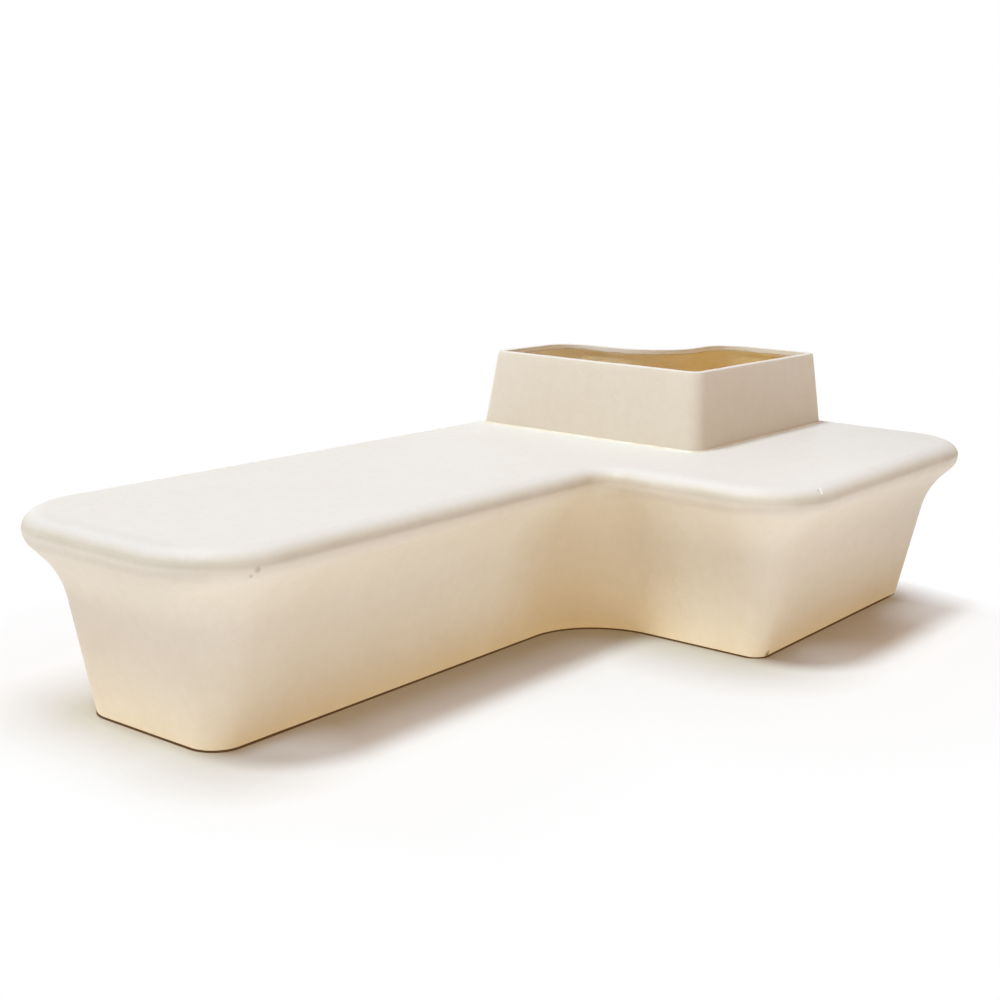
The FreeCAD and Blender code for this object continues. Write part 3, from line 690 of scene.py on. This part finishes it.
def seal_bead(sealant):
    """A bead smoothed by hand in the corner between planter and seat, uneven along its length."""
    skin = Skin()
    base = planter_outline(0)
    counts = plan_counts(base, LINER_STEP)
    foot = plan_points(base, counts)
    wide = plan_points(planter_outline(0, -SEAL_WIDTH), counts)
    width = [SEAL_LEAST_SHARE + swells((x, y, 0), SEAL_SWELLS) for x, y in foot]
    rings = []
    for share, rise in SEAL_SECTION:
        plan = [(f[0] + share * k * (w[0] - f[0]), f[1] + share * k * (w[1] - f[1]))
                for f, w, k in zip(foot, wide, width)]
        heights = [SEAT_HEIGHT - SEAL_SINK + rise * (SEAL_LEAST_RISE + SEAL_MORE_RISE * k) for k in width]
        rings.append(skin.ring(plan, heights))
    back = skin.ring(plan_points(planter_outline(0, SEAL_TUCK), counts), SEAT_HEIGHT + SEAL_BACK_RISE)
    skin.stack(rings + [back, rings[0]])
    piece = skin.make("seal_bead", [sealant], SEAL_SHARP)
    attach(piece, "bench")
    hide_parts("planter_seal")
    return piece


# Materials


class Recipe:
    """A node material under construction. Places, and so the scales of noise, are in metres."""

    def __init__(self, name):
        self.material = bpy.data.materials.new(name)
        self.material.use_nodes = True
        self.nodes = self.material.node_tree.nodes
        self.links = self.material.node_tree.links
        self.surface = self.nodes["Principled BSDF"]
        self.place = self.nodes.new("ShaderNodeTexCoord").outputs["Object"]

    def add(self, kind, values=(), **settings):
        node = self.nodes.new(kind)
        for name, value in settings.items():
            setattr(node, name, value)
        for socket, value in dict(values).items():
            if isinstance(value, bpy.types.NodeSocket):
                self.links.new(value, node.inputs[socket])
            else:
                node.inputs[socket].default_value = value
        return node

    def stretched(self, scale):
        return self.add("ShaderNodeMapping", {"Vector": self.place, "Scale": scale}).outputs[0]

    def noise(self, scale, detail=2.0, roughness=0.5, place=None, distortion=0.0):
        values = {"Vector": place or self.place, "Scale": scale, "Detail": detail,
                  "Roughness": roughness, "Distortion": distortion}
        return self.add("ShaderNodeTexNoise", values).outputs["Fac"]

    def cells(self, scale):
        return self.add("ShaderNodeTexVoronoi", {"Vector": self.place, "Scale": scale}).outputs["Color"]

    def remap(self, value, low, high, first=0.0, last=1.0):
        values = {"Value": value, "From Min": low, "From Max": high, "To Min": first, "To Max": last}
        return self.add("ShaderNodeMapRange", values, clamp=True).outputs["Result"]

    def spread(self, pattern, first, last):
        """A noise pattern between its usual lows and highs, as values from first to last."""
        return self.remap(pattern, 0.3, 0.7, first, last)

    def mix(self, share, first, second, blend="MIX"):
        node = self.add("ShaderNodeMix", data_type="RGBA", blend_type=blend)
        for socket, value in ((0, share), (6, first), (7, second)):
            if isinstance(value, bpy.types.NodeSocket):
                self.links.new(value, node.inputs[socket])
            else:
                node.inputs[socket].default_value = value
        return node.outputs[2]

    def maths(self, first, second, operation="ADD"):
        return self.add("ShaderNodeMath", {0: first, 1: second}, operation=operation).outputs[0]

    def product(self, first, second):
        return self.maths(first, second, "MULTIPLY")

    def rest(self, share):
        """What a share leaves of 1."""
        return self.maths(1.0, share, "SUBTRACT")

    def coordinate(self, axis):
        """A point's X, Y or Z in the part's frame."""
        return self.add("ShaderNodeSeparateXYZ", {0: self.place}).outputs[axis]

    def distance(self, point, place=None):
        values = {0: place or self.place, 1: point}
        return self.add("ShaderNodeVectorMath", values, operation="DISTANCE").outputs["Value"]

    def facing_up(self):
        """How far the surface faces up, from -1 to 1."""
        normal = self.nodes.new("ShaderNodeNewGeometry").outputs["True Normal"]
        turned = self.add("ShaderNodeVectorTransform", {0: normal}, vector_type="NORMAL",
                          convert_from="WORLD", convert_to="OBJECT")
        return self.add("ShaderNodeSeparateXYZ", {0: turned.outputs[0]}).outputs["Z"]

    def bump(self, height, distance, below=None):
        values = {"Height": height, "Distance": distance, "Strength": 1.0}
        if below is not None:
            values["Normal"] = below
        return self.add("ShaderNodeBump", values).outputs[0]

    def finish(self, colour, roughness, normal=None, **constants):
        self.links.new(colour, self.surface.inputs["Base Color"])
        self.links.new(roughness, self.surface.inputs["Roughness"])
        if normal is not None:
            self.links.new(normal, self.surface.inputs["Normal"])
        for name, value in constants.items():
            self.surface.inputs[name.replace("_", " ")].default_value = value
        return self.material


def colour(red, green, blue):
    """A colour written as on screen, as the linear values that the shader takes."""
    return tuple(((v / 255 + 0.055) / 1.055) ** 2.4 for v in (red, green, blue)) + (1.0,)


BLACK = (0.0, 0.0, 0.0, 1.0)
WHITE = (1.0, 1.0, 1.0, 1.0)

# Gelcoat on the sides, and its paler copies for inside the rim and where it faces the sky, which are
# painted light: two tones and their specks
WALL_SIDE = ((229, 218, 199), (225, 212, 190), (208, 193, 166))
# Painted light: a nearly white copy of the side gelcoat for inside the rim, where the planter is dimly
# lit
LIT_LIP_SIDE = ((253, 250, 245), (251, 247, 240), (248, 242, 232))
# Painted top light: the paler tones where the gelcoat faces the sky
PAINTED_TOP_LIGHT = ((232, 227, 220), (230, 224, 216), (214, 206, 192))
PAINTED_TOP_LIGHT_FACING = (0.25, 0.92)
MOTTLING = 0.16
GRAIN = 0.18
# Painted shade along the nose: which way it faces from below and from above, and how high it starts
NOSE_SHADE_COLOUR = (204, 191, 170)
NOSE_SHADE_FROM = (-0.10, 0.15)
NOSE_SHADE_UNTIL = (0.45, 0.90, 1.0, 0.0)
NOSE_SHADE_SHARES = (0.6, 0.95)
NOSE_SHADE_RISE = 0.06
SEAT_EDGE = 0.002
# Painted warm shade over a reach, from full strength to none: by height at the foot, and by distance in
# the shell's inner corner, where the ivory looks most amber
FOOT_SHADE_COLOUR = (205, 182, 141)
FOOT_SHADE_TONE = (0.003, 0.11, 0.24, 0.0)
FOOT_SHADE_PATCHES = (0.3, 1.0)
CORNER_SHADE_COLOUR = (198, 162, 98)
CORNER_SHADE_TONE = (0.02, 0.34, 0.40, 0.0)
CORNER_SHADE_STRETCH = (1.0, 1.0, 0.42)
INNER_FOOT = (0.12, 0.03, 0.0)
# Painted shade at both ends: where along the bench its two ends turn duller, and by how much, up to just
# above the seat
RIGHT_END_SHADE = (0.45, 1.10, 0.0, 0.11)
LEFT_END_SHADE = (-1.13, -1.17, 0.0, 0.07)
END_SHADE_TOP = (SEAT_HEIGHT + 0.004, SEAT_HEIGHT + 0.012, 1.0, 0.0)
# Small marks on the shell: where, how wide, how strong and of what colour
MARKS = [((-1.0605, -0.0670, 0.4040), 0.0085, 0.55, (176, 152, 116)),
         ((-1.0720, -0.0610, 0.3920), 0.0055, 0.50, (176, 152, 116)),
         ((0.2268, -0.5791, 0.4362), 0.0040, 0.45, (150, 140, 120)),
         ((0.2566, -0.4612, 0.0085), 0.0120, 0.85, (112, 104, 52))]
# The white nick: its two ends, and how wide, how strong and of what colour its marks are
NICK_TOP = (0.2435, -0.5765, 0.4391)
NICK_FOOT = (0.2290, -0.5879, 0.4296)
NICK_STEPS = 6
NICK_LOOK = (0.0040, 0.80, (250, 248, 244))
# A mark's ragged edge, its core and its outer edge as shares of its width
MARK_RAGGED = 0.6
MARK_CORE = 0.6
MARK_EDGE = 1.3


def nick_marks():
    """A row of marks for the nick, from the seat's edge down over the nose."""
    marks = []
    for step in range(NICK_STEPS + 1):
        share = step / NICK_STEPS
        place = tuple(high + (low - high) * share for high, low in zip(NICK_TOP, NICK_FOOT))
        marks.append((place, *NICK_LOOK))
    return marks


def gelcoat_material(name, side_colours, marks=()):
    """Ivory gelcoat, paler where it faces the sky as painted top light, with painted shade along the nose
    and painted warm shade at the foot.

    It has painted warm shade low in the shell's inner corner, where it looks most amber, and painted
    shade that makes both ends a little duller.
    """
    r = Recipe(name)
    facing = r.facing_up()
    height = r.coordinate("Z")
    # Painted top light: where the surface faces the sky it takes the paler tones
    level = r.remap(facing, *PAINTED_TOP_LIGHT_FACING)
    clouds = r.remap(r.noise(3.2, 3.0, 0.55), 0.3, 0.75)
    side = r.mix(clouds, colour(*side_colours[0]), colour(*side_colours[1]))
    top = r.mix(clouds, colour(*PAINTED_TOP_LIGHT[0]), colour(*PAINTED_TOP_LIGHT[1]))
    mottling = r.spread(r.noise(38.0, 4.0, 0.6), 0.0, MOTTLING)
    grain = r.spread(r.noise(420.0, 3.0, 0.7), 0.0, GRAIN)
    specks = r.maths(mottling, grain)
    side = r.mix(specks, side, colour(*side_colours[2]))
    top = r.mix(specks, top, colour(*PAINTED_TOP_LIGHT[2]))
    base = r.mix(level, side, top)

    # Painted shade: a darker band where the nose faces sideways, below the seat's edge
    rounded = r.product(r.remap(facing, *NOSE_SHADE_FROM), r.remap(facing, *NOSE_SHADE_UNTIL))
    below_seat = r.remap(height, SEAT_HEIGHT - SEAT_EDGE, SEAT_HEIGHT, 1.0, 0.0)
    nose_shade_span = r.product(r.remap(height, NOSE_LOW, NOSE_LOW + NOSE_SHADE_RISE), below_seat)
    uneven = r.spread(r.noise(11.0, 3.0), *NOSE_SHADE_SHARES)
    base = r.mix(r.product(r.product(rounded, nose_shade_span), uneven), base, colour(*NOSE_SHADE_COLOUR))

    # Painted warm shade at the foot, in patches
    foot_shade = r.product(r.remap(height, *FOOT_SHADE_TONE), r.spread(r.noise(7.0, 3.0), *FOOT_SHADE_PATCHES))
    base = r.mix(foot_shade, base, colour(*FOOT_SHADE_COLOUR))
    # Painted warm shade low in the shell's inner corner, away from the sky-facing top
    inner = r.distance(INNER_FOOT, r.stretched(CORNER_SHADE_STRETCH))
    amber = r.product(r.remap(inner, *CORNER_SHADE_TONE), r.rest(level))
    base = r.mix(amber, base, colour(*CORNER_SHADE_COLOUR))
    # Painted shade: both ends of the bench darkened towards black
    across = r.coordinate("X")
    ends = r.maths(r.remap(across, *RIGHT_END_SHADE), r.remap(across, *LEFT_END_SHADE))
    base = r.mix(r.product(ends, r.remap(height, *END_SHADE_TOP)), base, BLACK)
    for place, width, strength, stain in marks:
        ragged = r.maths(r.distance(place), r.product(r.noise(300.0), width * MARK_RAGGED))
        share = r.remap(ragged, width * MARK_CORE, width * MARK_EDGE, strength, 0.0)
        base = r.mix(share, base, colour(*stain))
    roughness = r.spread(r.noise(26.0, 5.0, 0.6), 0.46, 0.62)
    peel = r.bump(r.noise(170.0, 4.0, 0.62), 0.0006)
    fibres = r.bump(r.noise(60.0, 6.0, 0.7, r.stretched((1.0, 1.0, 0.55)), 1.2), 0.0010, peel)
    return r.finish(base, roughness, fibres)


# Raw laminate: its resin, its strands, and a paler tone from the planter's left to its middle
RESIN = ((250, 232, 184), (242, 212, 148))
STRAND = (252, 240, 208)
PALE_LEFT = (252, 247, 239)
PALE_LEFT_REACH = (0.48, 0.84, 0.95, 0.0)


def laminate_material():
    """Raw glass-fibre laminate: amber resin in pools, with paler strands lying mostly level."""
    r = Recipe("laminate")
    pools = r.remap(r.noise(8.0, 4.0, 0.6, r.stretched((1.0, 1.0, 2.0))), 0.3, 0.72)
    base = r.mix(pools, colour(*RESIN[0]), colour(*RESIN[1]))
    base = r.mix(r.remap(r.coordinate("X"), *PALE_LEFT_REACH), base, colour(*PALE_LEFT))
    level_strands = r.noise(80.0, 4.0, 0.65, r.stretched((0.22, 0.22, 1.6)), 1.6)
    base = r.mix(r.remap(level_strands, 0.50, 0.66, 0.0, 0.55), base, colour(*STRAND))
    crossed = r.noise(110.0, 3.0, 0.6, r.stretched((1.0, 1.0, 0.35)), 2.5)
    base = r.mix(r.remap(crossed, 0.54, 0.68, 0.0, 0.25), base, colour(*STRAND))
    roughness = r.spread(r.noise(40.0, 3.0), 0.30, 0.55)
    coarse = r.bump(r.noise(30.0, 5.0, 0.65), 0.0024)
    fine = r.bump(r.maths(level_strands, crossed), 0.0014, coarse)
    return r.finish(base, roughness, fine)


def sealant_material():
    r = Recipe("sealant")
    base = r.mix(r.remap(r.noise(24.0, 3.0), 0.35, 0.65), colour(236, 227, 208), colour(226, 212, 184))
    return r.finish(base, r.spread(r.noise(60.0), 0.35, 0.55), r.bump(r.noise(140.0, 3.0), 0.0006))


PLY_PAIR = 0.0036


def plywood_material():
    """Plywood with its grain along the bench, and the darker glue lines of its edges."""
    r = Recipe("plywood")
    plies = r.maths(r.product(r.coordinate("Z"), 1 / PLY_PAIR), 1.0, "MODULO")
    grain = r.noise(18.0, 6.0, 0.65, r.stretched((0.35, 5.0, 8.0)), 0.8)
    base = r.mix(r.remap(grain, 0.35, 0.65), colour(203, 165, 116), colour(164, 122, 78))
    base = r.mix(r.remap(plies, 0.45, 0.55, 0.0, 0.35), base, colour(120, 84, 50))
    return r.finish(base, r.spread(grain, 0.55, 0.75), r.bump(grain, 0.0006))


def galvanised_material():
    """Hot-dip zinc with its spangle, and paler stains."""
    r = Recipe("galvanised")
    spangle = r.add("ShaderNodeSeparateColor", {0: r.cells(55.0)}).outputs[0]
    base = r.mix(spangle, colour(150, 155, 158), colour(186, 190, 192))
    stain = r.remap(r.noise(14.0, 5.0, 0.6), 0.5, 0.75, 0.0, 0.5)
    base = r.mix(stain, base, colour(208, 208, 202))
    return r.finish(base, r.remap(spangle, 0.0, 1.0, 0.38, 0.62),
                    r.bump(r.noise(80.0, 3.0), 0.0004), Metallic=0.85)


def zinc_material():
    r = Recipe("zinc")
    base = r.mix(r.remap(r.noise(90.0, 4.0), 0.35, 0.65), colour(176, 178, 176), colour(204, 200, 184))
    return r.finish(base, r.spread(r.noise(150.0, 3.0), 0.28, 0.46),
                    r.bump(r.noise(500.0, 2.0), 0.0001), Metallic=0.9)


def dark_material(name, shade, low, high, grain):
    """Black plastics and rubber: a moulded grain with faint grey dust."""
    r = Recipe(name)
    dust = r.remap(r.noise(70.0, 4.0), 0.4, 0.75, 0.0, 0.5)
    base = r.mix(dust, colour(*shade), colour(88, 85, 80))
    return r.finish(base, r.spread(r.noise(40.0), low, high), r.bump(r.noise(grain, 3.0), 0.0002))


def dress_nodes(finishes):
    """Give every carried-over node the material of its slot in the record."""
    for part in frame["record"]["subparts"]:
        node = frame["nodes"][part["node"]]
        node.data.materials.clear()
        node.data.materials.append(finishes[part["material_slot"]])


# Floor, light and background

FLOOR_SIZE = 60.0
FLOOR_ROUGHNESS = 0.9
FLOOR_SHADE = (0.86, 0.82, 0.79, 1.0)
# The darker tones of the floor that the camera sees: at the foot, under the shell and in its inner corner
CONTACT_SHADE = (0.55, 0.49, 0.40, 1.0)
CONTACT_REACH = (0.0, 0.30)
UNDER_SHADE = (0.130, 0.080, 0.050, 1.0)
UNDER_REACH = (0.0, 0.002)
INNER_SHADE = 0.86
INNER_REACH = (0.12, 0.80)
# How the floor goes over into white: in two steps away from the foot, past both ends of the bench,
# less in the inner corner, and sooner or later round single places
FIRST_FADE = 0.32
FIRST_REACH = (0.05, 0.25)
SECOND_REACH = (0.25, 0.80)
RIGHT_FADE = (0.98, 1.22)
LEFT_FADE = (-1.06, -1.60)
INNER_FADE = 0.6
LOCAL_FADES = [((-1.00, 0.03, 0.0), 0.40), ((-1.15, -0.09, 0.0), -0.42),
               ((0.38, -0.52, 0.0), 0.14), ((0.56, -0.67, 0.0), -0.18), ((0.98, -0.58, 0.0), 0.30)]
LOCAL_REACH = 0.24
LOCAL_CLEAR = (0.0, 0.05)
# The floor's glow on the object, along the foot and further out
FOOT_GLOW_REACH = (0.02, 0.35)
FOOT_GLOW_COLOUR = (0.510, 0.450, 0.270, 1.0)
OUTER_GLOW_REACH = (0.24, 0.74)
OUTER_GLOW_COLOUR = (0.415, 0.505, 0.660, 1.0)
# Lamps: the sun, then each softbox by its place, target, energy and colour
KEY_TOWARD = (0.36, -0.17, -1.0)
KEY_SPREAD = math.radians(12)
KEY_STRENGTH = 3.01
KEY_COLOUR = (0.715, 0.88, 1.0)
SOFTBOX_SIZE = 1.5
FRONT_SOFTBOX = ((-1.8, -2.1, 1.4), (0.1, 0.0, 0.3), 5.3, (0.65, 0.94, 1.0))
LEFT_SOFTBOX = ((-3.4, 0.3, 0.35), (-0.8, 0.2, 0.30), 5.7, (0.25, 0.58, 1.0))
AMBIENT = (0.434, 0.288, 0.209, 1.0)


def add_lamp(name, kind, towards, energy, tint):
    data = bpy.data.lights.new(name, kind)
    data.energy = energy
    data.color = tint
    lamp = bpy.data.objects.new(name, data)
    lamp.rotation_mode = "QUATERNION"
    lamp.rotation_quaternion = Vector(towards).to_track_quat("-Z", "Y")
    lamp.visible_camera = False
    bpy.context.scene.collection.objects.link(lamp)
    return lamp


def add_softbox(name, place, target, energy, tint):
    lamp = add_lamp(name, "AREA", Vector(target) - Vector(place), energy, tint)
    lamp.data.shape = "SQUARE"
    lamp.data.size = SOFTBOX_SIZE
    lamp.location = place


def seen_directly(nodes, links):
    """1 for rays from the camera, a mirror or glass, 0 for the light that bounces on the object."""
    path = nodes.new("ShaderNodeLightPath")
    seen = path.outputs["Is Camera Ray"]
    for ray in ("Is Glossy Ray", "Is Transmission Ray"):
        either = nodes.new("ShaderNodeMath")
        either.operation = "MAXIMUM"
        links.new(seen, either.inputs[0])
        links.new(path.outputs[ray], either.inputs[1])
        seen = either.outputs[0]
    return seen


def reach_beyond(r, low, high, rounding):
    """How far a point of the floor lies outside a box of the plan with rounded corners."""
    squares = []
    for axis in range(2):
        middle = (low[axis] + high[axis]) / 2
        half = (high[axis] - low[axis]) / 2 - rounding
        gap = r.maths(r.maths(r.coordinate(axis), middle, "SUBTRACT"), 0.0, "ABSOLUTE")
        squares.append(r.maths(r.maths(r.maths(gap, half, "SUBTRACT"), 0.0, "MAXIMUM"), 2.0, "POWER"))
    reach = r.maths(r.maths(squares[0], squares[1]), 0.5, "POWER")
    return r.maths(r.maths(reach, rounding, "SUBTRACT"), 0.0, "MAXIMUM")


def reach_from_foot(r):
    """How far a point of the floor lies from the shell's foot, with its two inner corners filled."""
    inset = RIM_OVERHANG
    notch = (PLANTER_NOTCH_X + PLANTER_REAR_MARGIN, PLANTER_NOTCH_Y + PLANTER_REAR_MARGIN)
    long_arm = reach_beyond(r, (-END_X + inset, REAR_Y - LONG_ARM_DEPTH + inset),
                            (notch[0] - inset, REAR_Y - inset), END_CORNER_RADIUS)
    cross_arm = reach_beyond(r, (END_X - CROSS_ARM_WIDTH + inset, -REAR_Y + inset),
                             (END_X - inset, notch[1] - inset), LOBE_CORNER_RADIUS)
    rounding = 0.0
    for arm in (long_arm, cross_arm):
        within = r.maths(r.maths(INNER_CORNER_RADIUS, arm, "SUBTRACT"), 0.0, "MAXIMUM")
        rounding = r.maths(rounding, r.maths(within, 2.0, "POWER"))
    rounded = r.maths(INNER_CORNER_RADIUS, r.maths(rounding, 0.5, "POWER"), "SUBTRACT")
    beyond = r.maths(r.maths(long_arm, cross_arm, "MINIMUM"), INNER_CORNER_RADIUS, "SUBTRACT")
    return r.maths(r.maths(rounded, r.maths(beyond, 0.0, "MAXIMUM")), 0.0, "MAXIMUM")


def floor_shade(r, gap, open_sky):
    """The floor's tone for the camera, darker at the foot, under the shell and in its inner corner."""
    near = r.mix(r.remap(gap, *CONTACT_REACH), CONTACT_SHADE, FLOOR_SHADE)
    near = r.mix(r.product(r.rest(open_sky), 1 - INNER_SHADE), near, BLACK)
    return r.mix(r.remap(gap, *UNDER_REACH), UNDER_SHADE, near)


def floor_fade(r, gap, open_sky):
    """How far the floor has gone over into white."""
    first = r.remap(gap, *FIRST_REACH, 0.0, FIRST_FADE)
    second = r.remap(gap, *SECOND_REACH, 0.0, 1 - FIRST_FADE)
    across = r.coordinate("X")
    fade = r.maths(r.maths(first, second), r.remap(across, *RIGHT_FADE))
    fade = r.maths(fade, r.remap(across, *LEFT_FADE))
    for place, amount in LOCAL_FADES:
        near = r.remap(r.distance(place), 0.0, LOCAL_REACH, amount, 0.0)
        fade = r.maths(fade, r.product(near, r.remap(gap, *LOCAL_CLEAR)))
    return r.product(fade, r.remap(open_sky, 0.0, 1.0, INNER_FADE, 1.0))


def make_floor():
    """A pale floor that keeps the object's shadow and goes over into the white background.

    Out of the camera's sight it is even, and it glows faintly, as sunlit paving would, warmest
    along the foot.
    """
    mesh = bpy.data.meshes.new("floor")
    half = FLOOR_SIZE / 2
    corners = [(-half, -half, 0), (half, -half, 0), (half, half, 0), (-half, half, 0)]
    mesh.from_pydata(corners, [], [(0, 1, 2, 3)])
    floor = bpy.data.objects.new("floor", mesh)
    bpy.context.scene.collection.objects.link(floor)
    r = Recipe("floor")
    seen = seen_directly(r.nodes, r.links)
    gap = reach_from_foot(r)
    open_sky = r.remap(r.distance(INNER_FOOT), *INNER_REACH)
    from_camera = r.nodes.new("ShaderNodeLightPath").outputs["Is Camera Ray"]
    shade = r.mix(from_camera, FLOOR_SHADE, floor_shade(r, gap, open_sky))
    r.links.new(shade, r.surface.inputs["Base Color"])
    r.surface.inputs["Roughness"].default_value = FLOOR_ROUGHNESS
    r.surface.inputs["Specular IOR Level"].default_value = 0.0
    along_foot = r.mix(r.remap(gap, *FOOT_GLOW_REACH), FOOT_GLOW_COLOUR, BLACK)
    outer = r.mix(r.remap(gap, *OUTER_GLOW_REACH), BLACK, OUTER_GLOW_COLOUR)
    r.links.new(r.mix(1.0, along_foot, outer, "ADD"), r.surface.inputs["Emission Color"])
    r.links.new(r.rest(seen), r.surface.inputs["Emission Strength"])
    white = r.add("ShaderNodeEmission", {"Strength": 1.0})
    fade = floor_fade(r, gap, open_sky)
    blend = r.add("ShaderNodeMixShader", {0: r.product(seen, fade),
                                          1: r.surface.outputs[0], 2: white.outputs[0]})
    r.links.new(blend.outputs[0], r.nodes["Material Output"].inputs["Surface"])
    mesh.materials.append(r.material)


def make_light():
    key = add_lamp("key", "SUN", KEY_TOWARD, KEY_STRENGTH, KEY_COLOUR)
    key.data.angle = KEY_SPREAD
    add_softbox("front_softbox", *FRONT_SOFTBOX)
    add_softbox("left_softbox", *LEFT_SOFTBOX)

    world = bpy.data.worlds.new("world")
    bpy.context.scene.world = world
    world.use_nodes = True
    nodes = world.node_tree.nodes
    links = world.node_tree.links
    mix = nodes.new("ShaderNodeMix")
    mix.data_type = "RGBA"
    links.new(seen_directly(nodes, links), mix.inputs[0])
    mix.inputs[6].default_value = AMBIENT
    mix.inputs[7].default_value = WHITE
    links.new(mix.outputs[2], nodes["Background"].inputs["Color"])
    nodes["Background"].inputs["Strength"].default_value = 1.0
    bpy.context.scene.view_settings.view_transform = "Standard"


make_camera()
make_light()
make_floor()
GELCOAT = gelcoat_material("gelcoat", WALL_SIDE, MARKS + nick_marks())
LAMINATE = laminate_material()
SEALANT = sealant_material()
dress_nodes({"gelcoat": GELCOAT, "laminate": LAMINATE, "sealant": SEALANT,
             "plywood": plywood_material(), "galvanised": galvanised_material(),
             "zinc_steel": zinc_material(),
             "drain_plastic": dark_material("drain_plastic", (38, 38, 40), 0.35, 0.5, 300.0),
             "pad_plastic": dark_material("pad_plastic", (28, 28, 30), 0.45, 0.6, 500.0),
             "gasket_rubber": dark_material("gasket_rubber", (22, 22, 22), 0.7, 0.85, 800.0)})
bench_skin(GELCOAT, LAMINATE)
# The rim's inside gets the nearly white gelcoat copy, painted light
surround_skin(GELCOAT, LAMINATE, gelcoat_material("lit_lip_gelcoat", LIT_LIP_SIDE))
liner_skin(LAMINATE)
seal_bead(SEALANT)
